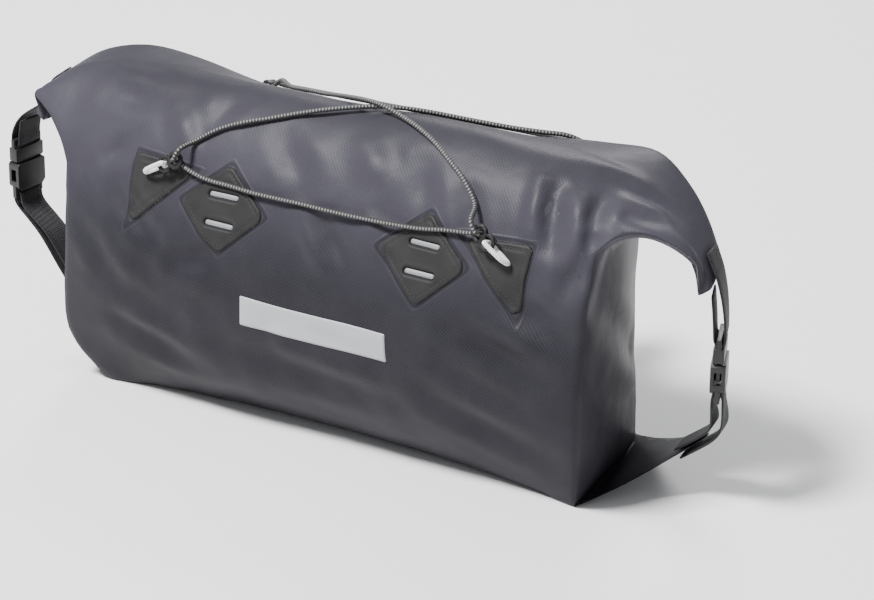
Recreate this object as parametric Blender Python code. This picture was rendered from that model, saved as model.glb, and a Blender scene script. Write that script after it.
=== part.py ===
"""Bicycle handlebar bag: a roll-top cloth shell with its patches, cord, straps and rear mount."""
import math

import bpy
import numpy as np
from mathutils import Vector
from mathutils.bvhtree import BVHTree
from mathutils.geometry import delaunay_2d_cdt

# Main sizes in metres
BODY_HALF = 0.181          # half of the bottom edge, to the front corner
WING_HALF = 0.262          # half of the rolled mouth, along X
DEPTH = 0.130              # depth of the boxed bottom
HEIGHT = 0.222             # bottom to the front crease of the roll
WALL = 0.0010              # cloth thickness
LAYER_GAP = 0.0019         # middle to middle of two cloth layers that lie together
ROLL_WIDTH = 0.038         # width of the flat roll
GAP = 0.0003               # clearance between pieces that touch
PANEL_SHARE = 0.67         # share of the roll that belongs to the front panel
CREST_PULL = 0.36          # roundness of the top of the bag

# Front patches: corners as (x, height) shares of BODY_HALF and HEIGHT
PATCH_THICK = 0.0012
PLATE_MERGE = 0.0002
PATCH_LIFT = 0.0004
DIAMOND = ((0.418, 0.827), (0.590, 0.712), (0.424, 0.589), (0.247, 0.716))
DIAMOND_ROUND = 0.006
TRIANGLE = ((0.826, 0.802), (0.813, 0.613), (0.575, 0.790))
TRIANGLE_ROUND = 0.004
SLOT_LENGTH = 0.023
SLOT_WIDTH = 0.0045
SLOT_HEIGHTS = {"upper": (0.421, 0.749), "lower": (0.420, 0.670)}
LABEL_HALF = 0.056
LABEL_LOW = 0.3815
LABEL_HIGH = 0.4743
LABEL_THICK = 0.0004

# Cord, hooks and loops
CORD_RADIUS = 0.0015
LOOP_RADIUS = 0.0016
HOOK_RING = 0.0048         # centre line radius of one ring of a hook
HOOK_WIRE = 0.0013         # radius of the hook's bar
HOOK_REACH = 0.0078        # distance between the two rings of a hook

HOOK_LIFT = 0.0082         # height of the front hooks above the cloth
CORD_SPACING = 0.0175
CORD_CLEAR = 0.0026
CORD_FREE = 0.020          # length near a hook that hangs free of the cloth
RING_CLEAR = 0.0012        # between a ring and the cord or loop that passes over it
CORD_LEAVE = 0.0092        # from a ring to the cord point just outside it
CROSSING = (0.010, 0.0036) # where one strand crosses the other, and how much higher it runs
FRONT_FOOT = {-1: (-0.738, 0.770), 1: (0.740, 0.766)}
FRONT_AIM = {-1: (-0.620, 0.816), 1: (0.625, 0.824)}
REAR_FOOT_X = {-1: -0.650, 1: 0.800}
REAR_FOOT_Z = {-1: 0.770, 1: 0.805}
STRAND_LEFT = (
    (-0.418, -0.478, 0.849),
    (-0.399, -0.441, 0.881),
    (-0.354, -0.410, 0.908),
    (-0.252, -0.352, 0.951),
    (-0.154, -0.283, 0.982),
    (-0.056, -0.221, 1.011),
    (0.035, -0.137, 1.020),
    (0.178, 0.010, 1.012),
    (0.330, 0.130, 0.985),
    (0.460, 0.220, 0.965),
)
STRAND_RIGHT = (
    (-0.330, 0.190, 0.965),
    (-0.200, 0.090, 0.985),
    (-0.089, -0.040, 1.010),
    (0.041, -0.158, 1.018),
    (0.108, -0.190, 1.015),
    (0.180, -0.242, 1.003),
    (0.255, -0.305, 0.976),
    (0.339, -0.393, 0.929),
    (0.374, -0.421, 0.907),
    (0.406, -0.475, 0.865),
)
STRAND_FRONT = (
    (0.376, -0.535, 0.802),
    (0.323, -0.545, 0.789),
    (0.269, -0.549, 0.782),
    (0.157, -0.553, 0.775),
    (0.043, -0.554, 0.772),
    (-0.074, -0.553, 0.773),
    (-0.191, -0.554, 0.771),
    (-0.312, -0.548, 0.777),
    (-0.374, -0.544, 0.780),
)

# Side straps and buckles
WEB_WIDTH = 0.020
WEB_THICK = 0.0014
BUCKLE_WIDTH = 0.0255
BUCKLE_THICK = 0.0098
BAR_RADIUS = 0.0016        # bars that the webbing runs round

BUCKLE_TOP = {-1: (-1.067, -0.154, 0.658), 1: (0.989, -0.154, 0.561)}
BUCKLE_LOW = {-1: (-1.071, -0.154, 0.473), 1: (0.989, -0.154, 0.374)}
STRAP_YAW = {-1: math.radians(10.0), 1: math.radians(20.0)}
STRAP_BOW = {-1: 0.006, 1: 0.001}
STRAP_TAIL = {-1: 0.017, 1: 0.030}

# Rear mount
MOUNT_X = 0.075            # middle of each spacer
SPACER_WIDTH = 0.036
SPACER_LOW = 0.105
SPACER_HIGH = 0.160
SPACER_THICK = 0.013       # from the middle of the rear panel to the face of the spacers
SPACER_BACK = 0.5 * DEPTH + SPACER_THICK
HANDLEBAR_RADIUS = 0.0161
BAR_STRAP_THICK = 0.002
BAR_HEIGHT = 0.134
BAR_STRAP_STEPS = 10

# Levels of the wall, heights as shares of HEIGHT, widths of BODY_HALF, depths of DEPTH
WALL_COLUMNS = ("height", "left_height", "right_height", "half_left", "half_right", "front_mid",
                "front_corner", "front_power", "rear_mid", "rear_corner", "rear_inset", "end_bulge")
WALL_SCALES = (HEIGHT, HEIGHT, HEIGHT, BODY_HALF, BODY_HALF, DEPTH,
               DEPTH, 1.0, DEPTH, DEPTH, BODY_HALF, BODY_HALF)
WALL_ROWS = (
    (0.00226, 0.00226, 0.00226, 1.000, 1.000, -0.369, -0.500, 2.0, 0.446, 0.346, 0.055, 0.010),
    (0.045, 0.045, 0.045, 1.083, 1.014, -0.469, -0.523, 2.5, 0.462, 0.354, 0.072, 0.022),
    (0.135, 0.135, 0.135, 1.171, 1.030, -0.585, -0.562, 3.0, 0.469, 0.346, 0.099, 0.039),
    (0.270, 0.270, 0.270, 1.155, 1.044, -0.669, -0.615, 4.0, 0.469, 0.331, 0.116, 0.044),
    (0.405, 0.405, 0.405, 1.133, 1.052, -0.704, -0.635, 5.0, 0.462, 0.323, 0.122, 0.044),
    (0.532, 0.532, 0.537, 1.122, 1.052, -0.700, -0.631, 5.0, 0.454, 0.315, 0.122, 0.044),
    (0.640, 0.635, 0.675, 1.133, 1.047, -0.650, -0.588, 5.0, 0.438, 0.315, 0.116, 0.039),
    (0.730, 0.720, 0.810, 1.160, 1.036, -0.585, -0.500, 5.0, 0.408, 0.308, 0.110, 0.028),
)

# The roll, left tip to right tip: front crease and rear edge as shares of the main sizes
CREASE_COLUMNS = ("station", "x", "y", "z", "rear_x", "rear_y", "rear_z")
CREASE_SCALES = (1.0, WING_HALF, DEPTH, HEIGHT, WING_HALF, DEPTH, HEIGHT)
CREASE_ROWS = (
    (-1.000, -0.992, -0.269, 0.784, -0.962, -0.023, 0.802),
    (-0.895, -0.943, -0.215, 0.901, -0.939, -0.069, 0.914),
    (-0.799, -0.859, -0.138, 0.955, -0.847, 0.015, 0.962),
    (-0.707, -0.763, -0.092, 0.977, -0.763, 0.108, 0.977),
    (-0.607, -0.656, -0.062, 0.988, -0.679, 0.185, 0.978),
    (-0.494, -0.534, -0.054, 0.987, -0.538, 0.208, 0.943),
    (-0.317, -0.344, -0.054, 0.986, -0.344, 0.215, 0.910),
    (0.000, 0.000, -0.054, 0.997, 0.000, 0.215, 0.920),
    (0.315, 0.344, -0.054, 1.005, 0.344, 0.215, 0.937),
    (0.519, 0.565, -0.054, 0.995, 0.565, 0.208, 0.964),
    (0.628, 0.683, -0.062, 0.982, 0.694, 0.177, 0.990),
    (0.709, 0.759, -0.077, 0.943, 0.757, 0.115, 0.962),
    (0.796, 0.839, -0.138, 0.893, 0.843, 0.031, 0.891),
    (0.880, 0.913, -0.208, 0.840, 0.910, -0.046, 0.826),
    (1.000, 0.988, -0.269, 0.728, 0.957, -0.023, 0.737),
)

# Folds that run from the upper corners out to the tips of the roll (x, y, z shares)
FRONT_FOLD = {
    -1: ((-0.836, -0.462, 0.775), (-0.889, -0.400, 0.833), (-0.966, -0.323, 0.865)),
    1: ((0.779, -0.385, 0.883), (0.855, -0.346, 0.874), (0.950, -0.308, 0.829)),
}
REAR_FOLD = {
    -1: ((-0.771, 0.277, 0.793), (-0.821, 0.154, 0.820), (-0.878, -0.015, 0.811)),
    1: ((0.740, 0.262, 0.793), (0.802, 0.154, 0.793), (0.870, -0.015, 0.766)),
}
# Tips of the bottom ears (x, y, z shares)
EAR_TIP = {-1: (-0.985, -0.154, 0.338), 1: (0.962, -0.062, 0.212)}
EAR_CURVE = {-1: 2.0, 1: 1.3}

# Path of the double cloth through the roll: millimetres across a 38 mm wide roll from its
# crease, and cloth layers down from its top face, for the front and the rear sheet
ROLL_SECTION = (
    (1.5, 0.0, 0.0, 2.6),
    (4.0, 0.0, 4.0, 1.0),
    (18.0, 0.0, 18.0, 1.0),
    (33.0, 0.0, 33.0, 1.0),
    (36.2, 0.45, 34.2, 1.15),
    (37.4, 1.5, 34.8, 1.5),
    (36.2, 2.55, 34.2, 1.85),
    (33.0, 3.0, 33.0, 2.0),
    (18.0, 3.0, 18.0, 2.0),
    (7.0, 3.0, 7.0, 2.0),
)
ROLL_UNIT = ROLL_WIDTH / 38.0
ROLL_END_STEP = 0.003
NECK_REAR = (4.0, 4.3)
TIP_MIDDLE = (0.0, 5.6)
UNDERSIDE_SAG = 0.010

# Shares of the half bag where the mesh has its columns and rows
PANEL_SHARES = (0.0, 0.167, 0.333, 0.5, 0.667, 0.833, 1.0)
END_SHARES = (0.25, 0.5, 0.75, 0.88, 1.0)
FOLD_SHARES = (0.25, 0.5, 0.75, 0.88, 1.0)


def columns(names, scales, rows):
    """Table rows as one array per named column, in metres."""
    data = np.array(rows, dtype=float) * np.array(scales)
    return {name: data[:, i] for i, name in enumerate(names)}


def smooth(x, xs, ys):
    """Cubic interpolation through the points of a table."""
    xs = np.asarray(xs, dtype=float)
    ys = np.asarray(ys, dtype=float)
    slopes = np.gradient(ys, xs, axis=0)
    i = int(np.clip(np.searchsorted(xs, x) - 1, 0, len(xs) - 2))
    step = xs[i + 1] - xs[i]
    t = (x - xs[i]) / step
    start = ys[i] * (1.0 + 2.0 * t) * (1.0 - t) ** 2 + slopes[i] * step * t * (1.0 - t) ** 2
    end = ys[i + 1] * t * t * (3.0 - 2.0 * t) + slopes[i + 1] * step * t * t * (t - 1.0)
    return start + end


def unit(vector):
    """Vector of length one."""
    return vector / np.linalg.norm(vector)


LEVELS = columns(WALL_COLUMNS, WALL_SCALES, WALL_ROWS)
ROLL_PATH = columns(CREASE_COLUMNS, CREASE_SCALES, CREASE_ROWS)
SHARE_SCALES = np.array((WING_HALF, DEPTH, HEIGHT))


def crease_point(station):
    """Point on the front crease of the roll, station -1 to 1."""
    path = np.stack([ROLL_PATH["x"], ROLL_PATH["y"], ROLL_PATH["z"]], axis=1)
    return smooth(station, ROLL_PATH["station"], path)


def roll_rear_point(station):
    """Point on the rear edge of the roll, station -1 to 1."""
    path = np.stack([ROLL_PATH["rear_x"], ROLL_PATH["rear_y"], ROLL_PATH["rear_z"]], axis=1)
    return smooth(station, ROLL_PATH["station"], path)


def roll_point(station, across, layers):
    """Point in the section of the roll, millimetres across and cloth layers down."""
    crease = crease_point(station)
    back = unit(roll_rear_point(station) - crease)
    low = max(station - 0.02, -1.0)
    high = min(station + 0.02, 1.0)
    along = unit(crease_point(high) - crease_point(low))
    inward = unit(np.cross(back, along))
    return crease + back * across * ROLL_UNIT + inward * layers * LAYER_GAP


def level(name, row):
    """Value of a wall column at a row number, which may lie between two rows."""
    return float(smooth(row, np.arange(len(WALL_ROWS)), LEVELS[name]))


def wall_point(row, side, face, kind, share):
    """Point on the wall of the box."""
    half = level("half_left" if side < 0 else "half_right", row)
    inset = level("rear_inset", row)
    corner_z = level("left_height" if side < 0 else "right_height", row)
    front_corner = level("front_corner", row)
    rear_corner = level("rear_corner", row)
    if kind == "panel":
        z = level("height", row)
        z += (corner_z - z) * share ** 3
        if face == "front":
            middle = level("front_mid", row)
            y = middle + (front_corner - middle) * share ** level("front_power", row)
            return np.array((side * half * share, y, z))
        middle = level("rear_mid", row)
        y = middle + (rear_corner - middle) * share ** 4
        return np.array((side * (half - inset) * share, y, z))
    turn = share if face == "front" else 2.0 - share
    bulge = level("end_bulge", row) * math.sin(0.5 * math.pi * turn)
    x = half - inset * (0.5 * turn) ** 2 + bulge
    y = front_corner + (rear_corner - front_corner) * 0.5 * turn
    return np.array((side * x, y, corner_z + LAYER_GAP * max(0.0, 1.0 - row)))


def end_curve(row, side, t):
    """How far the end wall bends away, level, from a straight line between its corners."""
    turn = 2.0 * t
    face = "front" if turn <= 1.0 else "rear"
    share = turn if turn <= 1.0 else 2.0 - turn
    start = wall_point(row, side, "front", "panel", 1.0)
    finish = wall_point(row, side, "rear", "panel", 1.0)
    bend = wall_point(row, side, face, "end", share) - (start + (finish - start) * t)
    return bend * np.array((1.0, 1.0, 0.0))


def base_point(depth, side, face, kind, share):
    """Point on the bottom strip or its ear; depth runs from the edge 0 to the seam 1."""
    edge = wall_point(0, side, face, "panel", share if kind == "panel" else 1.0)
    other = "rear" if face == "front" else "front"
    if kind == "panel":
        opposite = wall_point(0, side, other, "panel", share)
        return edge + (opposite - edge) * 0.5 * depth
    front = wall_point(0, side, "front", "panel", 1.0)
    rear = wall_point(0, side, "rear", "panel", 1.0)
    tip = np.array(EAR_TIP[side]) * SHARE_SCALES
    upper = share >= depth
    out = depth if upper else share
    turn = share if upper else depth
    turn = turn if face == "front" else 2.0 - turn
    t = 0.5 if out >= 1.0 else (turn - out) / (2.0 - 2.0 * out)
    front_leg = front + (tip - front) * out
    rear_leg = rear + (tip - rear) * out
    point = front_leg + (rear_leg - front_leg) * t + end_curve(0, side, t) * (1.0 - out)
    point[2] = front[2] + (tip[2] - front[2]) * out ** EAR_CURVE[side]
    reach = tip - 0.5 * (front + rear)
    reach[2] = reach[2] * EAR_CURVE[side] * max(out, 0.1) ** (EAR_CURVE[side] - 1.0)
    slope = unit(np.cross(reach, rear - front)) * side
    lift = 1.0 if upper else 0.0
    if abs(share - depth) < 1e-6:
        lift = 0.5
    return point + slope * lift * LAYER_GAP


def fold_point(distance, side, face):
    """Point on the fold from an upper corner, distance 0, to the tip of the roll, distance 1."""
    table = FRONT_FOLD if face == "front" else REAR_FOLD
    last = len(WALL_ROWS) - 1
    start = wall_point(last, side, face, "panel", 1.0)
    middle = [np.array(row) * SHARE_SCALES for row in table[side]]
    end = roll_point(float(side), *TIP_MIDDLE)
    return smooth(distance, (0.0, 0.25, 0.5, 0.75, 1.0), np.array([start] + middle + [end]))


def station_of(side, kind, share):
    """Station along the roll for a column of the bag."""
    if kind == "panel":
        return side * PANEL_SHARE * share
    return side * (PANEL_SHARE + (1.0 - PANEL_SHARE) * share)


def neck_point(side, face, kind, share):
    """Where the front or rear sheet reaches the roll."""
    station = station_of(side, kind, share)
    if kind == "end" and share >= 1.0:
        return roll_point(station, *TIP_MIDDLE)
    if face == "front":
        return roll_point(station, 0.0, 0.0)
    return roll_point(station, *NECK_REAR)


def top_point(rise, side, face, kind, share):
    """Point above the wall; rise runs from the wall 0 to the neck of the roll 1."""
    last = len(WALL_ROWS) - 1
    if kind == "panel":
        start = wall_point(last, side, face, "panel", share)
        below = wall_point(last - 1, side, face, "panel", share)
        end = neck_point(side, face, "panel", share)
        reach = np.linalg.norm(end - start) * CREST_PULL
        back = unit(roll_rear_point(station_of(side, kind, share))
                    - crease_point(station_of(side, kind, share)))
        lead = -back if face == "front" else back
        first = start + unit(start - below) * reach
        second = end + lead * reach
        weights = ((1 - rise) ** 3, 3 * rise * (1 - rise) ** 2, 3 * rise ** 2 * (1 - rise), rise ** 3)
        return sum(w * p for w, p in zip(weights, (start, first, second, end)))
    if share >= rise:
        turn = share if face == "front" else 2.0 - share
        t = 0.5 if rise >= 1.0 else (turn - rise) / (2.0 - 2.0 * rise)
        front = fold_point(rise, side, "front")
        rear = fold_point(rise, side, "rear")
        point = front + (rear - front) * t + end_curve(last, side, t) * (1.0 - rise)
        sag = 4.0 * t * (1.0 - t) * (1.0 - rise) ** 0.5 * rise ** 0.5 * 2.0 * UNDERSIDE_SAG
        return point - np.array((0.0, 0.0, sag))
    t = (rise - share) / (1.0 - share)
    start = fold_point(share, side, face)
    end = neck_point(side, face, kind, share)
    bow = unit(np.array((0.0, -0.6 if face == "front" else 0.6, 0.8))) * 4.0 * t * (1.0 - t)
    return start + (end - start) * t + bow * (0.004 if face == "front" else -0.001)


def rolled_point(step, side, face, kind, share):
    """Point on the double cloth inside the roll."""
    front_across, front_layer, rear_across, rear_layer = ROLL_SECTION[step]
    station = station_of(side, kind, share)
    if step > 2:
        station = station * (1.0 - ROLL_END_STEP * (step - 2))
    if kind == "end" and share >= 1.0:
        return roll_point(station, 0.5 * (front_across + rear_across), 0.5 * (front_layer + rear_layer))
    if face == "front":
        return roll_point(station, front_across, front_layer)
    return roll_point(station, rear_across, rear_layer)


def ring_columns():
    """Columns once round the bag: side, face, kind and share of each."""
    half = [("panel", share) for share in PANEL_SHARES] + [("end", share) for share in END_SHARES]
    ring = [(1, "front") + column for column in half]
    ring += [(1, "rear") + column for column in half[-2::-1]]
    ring += [(-1, "rear") + column for column in half[1:]]
    ring += [(-1, "front") + column for column in half[-2:0:-1]]
    return ring


def shell_rows():
    """Rows from the bottom seam to the rim of the mouth."""
    rows = [("base", share) for share in reversed(FOLD_SHARES)]
    rows += [("wall", row) for row in range(len(WALL_ROWS))]
    rows += [("top", share) for share in FOLD_SHARES]
    rows += [("roll", step) for step in range(len(ROLL_SECTION))]
    return rows


ROW_POINTS = {"base": base_point, "wall": wall_point, "top": top_point, "roll": rolled_point}


def shell_middle():
    """Vertices, quads and triangles of the middle surface of the cloth."""
    ring = ring_columns()
    rows = shell_rows()
    count = len(ring)
    points = []
    index = {}
    seam = {}
    for r, (zone, value) in enumerate(rows):
        for c, column in enumerate(ring):
            side, face, kind, share = column
            key = (kind, share, side if share > 0.0 else 0)
            if r == 0 and key in seam:
                index[r, c] = seam[key]
                continue
            index[r, c] = len(points)
            if r == 0:
                seam[key] = index[r, c]
            points.append(ROW_POINTS[zone](value, side, face, kind, share))
    faces = []
    for r in range(len(rows) - 1):
        for c in range(count):
            nxt = (c + 1) % count
            corners = [index[r, c], index[r, nxt], index[r + 1, nxt], index[r + 1, c]]
            faces += split_cell(rows[r], rows[r + 1], ring[c], ring[nxt], corners)
    rim = [index[len(rows) - 1, c] for c in range(count)]
    return np.array(points), faces, rim


def split_cell(low, high, left, right, corners):
    """Two triangles of a cell, split along the ear fold where the cell lies on it."""
    a, b, c, d = corners
    rising = left[1] == "front" and right[1] == "front"
    if high[0] == "roll":
        start = ROLL_SECTION[low[1]][0] if low[0] == "roll" else 0.0
        if ROLL_SECTION[high[1]][0] < start:
            rising = not rising
    low_share = 0.0 if low[0] == "wall" else low[1]
    high_share = 0.0 if high[0] == "wall" else high[1]
    if right[2] == "end" and "roll" not in (low[0], high[0]) and low_share != high_share:
        left_share = left[3] if left[2] == "end" else 0.0
        rising = (low_share < high_share) == (left_share < right[3])
    elif left[2] == "end" and "roll" not in (low[0], high[0]) and low_share != high_share:
        rising = low_share >= high_share
    cells = [(a, b, c), (a, c, d)] if rising else [(a, b, d), (b, c, d)]
    return [cell for cell in cells if len(set(cell)) == 3]


def vertex_normals(points, faces):
    """Angle weighted vertex normals."""
    normals = np.zeros_like(points)
    for face in faces:
        corner = points[list(face)]
        normal = np.cross(corner[1] - corner[0], corner[2] - corner[0])
        size = np.linalg.norm(normal)
        if size < 1e-14:
            continue
        normal = normal / size
        for i in range(3):
            first = unit(corner[(i + 1) % 3] - corner[i])
            second = unit(corner[(i + 2) % 3] - corner[i])
            normals[face[i]] += normal * math.acos(float(np.clip(first @ second, -1.0, 1.0)))
    return normals / np.linalg.norm(normals, axis=1)[:, None]


def shell_solid():
    """Vertices and faces of the cloth shell, walls WALL thick."""
    middle, faces, rim = shell_middle()
    normals = vertex_normals(middle, faces)
    outer = middle + normals * WALL * 0.5
    inner = middle - normals * WALL * 0.5
    shift = len(middle)
    solid = list(faces)
    solid += [tuple(i + shift for i in reversed(face)) for face in faces]
    for i in range(len(rim)):
        a = rim[i]
        b = rim[(i + 1) % len(rim)]
        solid.append((a, b, b + shift))
        solid.append((a, b + shift, a + shift))
    return np.vstack([outer, inner]), solid


def clear_scene():
    """Remove what the start scene holds."""
    for item in list(bpy.data.objects):
        bpy.data.objects.remove(item, do_unlink=True)


def material(name, colour, roughness, metallic=0.0):
    """Principled material with plain values."""
    item = bpy.data.materials.new(name)
    item.use_nodes = True
    shader = item.node_tree.nodes["Principled BSDF"]
    shader.inputs["Base Color"].default_value = (*colour, 1.0)
    shader.inputs["Roughness"].default_value = roughness
    shader.inputs["Metallic"].default_value = metallic
    item.diffuse_color = (*colour, 1.0)
    return item


LOOKS = {
    "cloth": ((0.075, 0.078, 0.095), 0.55),
    "rubber": ((0.022, 0.022, 0.024), 0.62),
    "reflector": ((0.42, 0.43, 0.44), 0.35),
    "label": ((0.45, 0.46, 0.48), 0.38),
    "white_cord": ((0.72, 0.72, 0.70), 0.70),
    "plastic": ((0.018, 0.018, 0.020), 0.38),
    "cord": ((0.035, 0.035, 0.036), 0.75),
    "webbing": ((0.020, 0.020, 0.022), 0.70),
    "foam": ((0.030, 0.030, 0.032), 0.85),
}


def add_mesh(name, points, faces, look):
    """New object from vertices and faces."""
    mesh = bpy.data.meshes.new(name)
    mesh.from_pydata([tuple(map(float, p)) for p in points], [], [tuple(f) for f in faces])
    mesh.validate()
    item = bpy.data.objects.new(name, mesh)
    bpy.context.scene.collection.objects.link(item)
    item.data.materials.append(material(name + "_look", *LOOKS[look]))
    return item


def smooth_faces(item, angle=40.0):
    """Smooth shading with sharp edges above an angle."""
    item.data.shade_smooth()
    item.data.set_sharp_from_angle(angle=math.radians(angle))


class Skin:
    """The outer face of the shell, to lay other pieces on."""

    def __init__(self, points, faces):
        self.points = [np.array(point) for point in points]
        self.tree = BVHTree.FromPolygons([tuple(p) for p in points], faces)
        pairs = (tuple(sorted((a, b))) for face in faces for a, b in zip(face, face[1:] + face[:1]))
        self.edges = sorted(set(pairs))

    def hit(self, start, direction):
        """Point where a ray meets the shell."""
        point = self.tree.ray_cast(Vector(start), Vector(direction))[0]
        if point is None:
            raise ValueError("ray misses the shell")
        return np.array(point)

    def front(self, x, z):
        """Point of the front panel at a place seen from the front."""
        return self.hit((x, -0.5, z), (0.0, 1.0, 0.0))

    def rear(self, x, z):
        """Point of the rear panel at a place seen from behind."""
        return self.hit((x, 0.5, z), (0.0, -1.0, 0.0))

    def lines(self, seen, outline):
        """Facet edges of one panel that pass near an outline."""
        low = np.min(outline, axis=0) - 0.001
        high = np.max(outline, axis=0) + 0.001
        result = []
        for a, b in self.edges:
            ends = np.array((self.points[a], self.points[b]))[:, (0, 2)]
            middle = 0.5 * (self.points[a] + self.points[b])
            if np.any(ends.max(axis=0) < low) or np.any(ends.min(axis=0) > high):
                continue
            if abs(seen(middle[0], middle[2])[1] - middle[1]) < 1e-5:
                result.append(ends)
        return result

    def over(self, point, distance, free):
        """Point moved out from the bag's middle axis to lie on the shell, or above it if free."""
        axis = np.array((point[0], 0.0, 0.5 * HEIGHT))
        way = unit(point - axis)
        least = float((self.hit(axis + way * 0.3, -way) - axis) @ way) + distance
        reach = float((point - axis) @ way)
        return self.clear(axis + way * (max(reach, least) if free else least), distance)

    def clear(self, point, distance):
        """Point moved outwards until it is a distance away from the shell."""
        point = np.array(point, dtype=float)
        for _ in range(4):
            near, normal, _, gap = self.tree.find_nearest(Vector(point))
            away = point - np.array(near)
            inside = float(np.dot(away, np.array(normal))) < 0.0
            if gap >= distance and not inside:
                break
            push = np.array(normal) if inside or gap < 1e-6 else away / gap
            point = np.array(near) + push * (distance + 1e-5)
        return point


def rounded_outline(corners, radius, steps=3):
    """Polygon with its corners rounded."""
    corners = [np.array(corner, dtype=float) for corner in corners]
    outline = []
    for i, corner in enumerate(corners):
        before = unit(corners[i - 1] - corner)
        after = unit(corners[(i + 1) % len(corners)] - corner)
        half = 0.5 * math.acos(float(np.clip(before @ after, -1.0, 1.0)))
        start = corner + before * radius / math.tan(half)
        finish = corner + after * radius / math.tan(half)
        for k in range(steps + 1):
            t = k / steps
            outline.append((1 - t) ** 2 * start + 2 * t * (1 - t) * corner + t * t * finish)
    return outline


def slot_outline(middle, length, width, steps=3):
    """Outline of a slot with round ends."""
    outline = []
    for end in (1.0, -1.0):
        for k in range(steps + 1):
            angle = math.pi * (k / steps - 0.5)
            x = end * (0.5 * (length - width) + 0.5 * width * math.cos(angle))
            outline.append(np.array((middle[0] + x, middle[1] + end * 0.5 * width * math.sin(angle))))
    return outline


def inside(point, outline):
    """Whether a point lies inside an outline."""
    found = False
    for i, a in enumerate(outline):
        b = outline[i - 1]
        if (a[1] > point[1]) != (b[1] > point[1]):
            if point[0] < (b[0] - a[0]) * (point[1] - a[1]) / (b[1] - a[1]) + a[0]:
                found = not found
    return found


def plate_triangles(outline, holes, lines):
    """Triangulated flat plate with holes, divided along the given lines."""
    loops = [list(outline)] + [list(hole) for hole in holes]
    points = []
    edges = []
    for loop in loops + [list(line) for line in lines]:
        first = len(points)
        points += [Vector(p) for p in loop]
        count = len(loop)
        edges += [(first + k, first + (k + 1) % count) for k in range(count if count > 2 else 1)]
    made, _, faces, *_ = delaunay_2d_cdt(points, edges, [], 0, PLATE_MERGE)
    made = [np.array(p) for p in made]
    kept = []
    for face in faces:
        a, b, c = (made[i] for i in face)
        centre = (a + b + c) / 3.0
        if inside(centre, loops[0]) and not any(inside(centre, hole) for hole in loops[1:]):
            kept.append(tuple(face))
    used = sorted({i for face in kept for i in face})
    place = {i: k for k, i in enumerate(used)}
    return [made[i] for i in used], [tuple(place[i] for i in face) for face in kept]


def thick_plate(low, high, faces):
    """Closed body between a lower and an upper copy of a triangulated sheet."""
    count = len(low)
    used = {}
    for face in faces:
        for k in range(3):
            edge = (face[k], face[(k + 1) % 3])
            used[edge] = used.get(edge, 0) + 1
    solid = [tuple(i + count for i in face) for face in faces]
    solid += [tuple(reversed(face)) for face in faces]
    for a, b in used:
        if (b, a) not in used:
            solid.append((a, b, b + count, a + count))
    return list(low) + list(high), solid


def draped(name, skin, outline, holes, lift, thickness, look):
    """Plate laid on the front panel; its outline is given as seen from the front."""
    points, faces = plate_triangles(outline, holes, skin.lines(skin.front, outline))
    middle = np.mean(outline, axis=0)
    centre = skin.front(*middle)
    over = skin.front(middle[0], middle[1] + 0.012)
    under = skin.front(middle[0], middle[1] - 0.012)
    side = skin.front(middle[0] + 0.012, middle[1]) - skin.front(middle[0] - 0.012, middle[1])
    normal = unit(np.cross(side, over - under))
    low = []
    high = []
    for x, z in points:
        foot = skin.front(x, z)
        low.append(foot + normal * lift)
        high.append(foot + normal * (lift + thickness))
    solid_points, solid_faces = thick_plate(low, high, faces)
    return add_mesh(name, solid_points, outward(solid_points, solid_faces), look), centre, normal


def outward(points, faces):
    """Faces turned so that the enclosed volume is positive."""
    volume = 0.0
    for face in faces:
        a = np.array(points[face[0]])
        for k in range(1, len(face) - 1):
            volume += float(np.dot(a, np.cross(points[face[k]], points[face[k + 1]])))
    return faces if volume > 0.0 else [tuple(reversed(face)) for face in faces]


def mirrored(corners, side):
    """Patch corners in metres for one side, in turning order."""
    placed = [np.array((side * x * BODY_HALF, z * HEIGHT)) for x, z in corners]
    return placed if side > 0 else placed[::-1]


def band(name, centres, sides, width, thickness, look, closed=False):
    """Strip of webbing along a path; sides are its width directions."""
    points = []
    count = len(centres)
    for i, centre in enumerate(centres):
        before = centres[i - 1] if i > 0 or closed else centres[i]
        after = centres[(i + 1) % count] if i < count - 1 or closed else centres[i]
        side = unit(sides[i])
        first = centre - before
        second = after - centre
        first = unit(first) if np.linalg.norm(first) > 1e-9 else unit(second)
        second = unit(second) if np.linalg.norm(second) > 1e-9 else first
        normal = unit(np.cross(side, unit(first + second)))
        grow = 1.0 / max(0.5, math.sqrt(0.5 * (1.0 + float(first @ second))))
        for across, up in ((-1, -1), (1, -1), (1, 1), (-1, 1)):
            points.append(centre + side * across * 0.5 * width + normal * up * 0.5 * thickness * grow)
    faces = []
    for i in range(count if closed else count - 1):
        j = (i + 1) % count
        for k in range(4):
            m = (k + 1) % 4
            faces.append((4 * i + k, 4 * i + m, 4 * j + m, 4 * j + k))
    if not closed:
        faces.append((3, 2, 1, 0))
        faces.append((4 * count - 4, 4 * count - 3, 4 * count - 2, 4 * count - 1))
    return add_mesh(name, points, outward(points, faces), look)


def even_path(points, count, closed=False):
    """Points at even distances along a smooth path."""
    points = np.array(points, dtype=float)
    if closed:
        points = np.vstack([points, points[:1]])
    lengths = np.concatenate([[0.0], np.cumsum(np.linalg.norm(np.diff(points, axis=0), axis=1))])
    places = np.linspace(0.0, lengths[-1], count + 1 if closed else count)
    result = np.array([smooth(place, lengths, points) for place in places])
    return result[:-1] if closed else result


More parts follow.
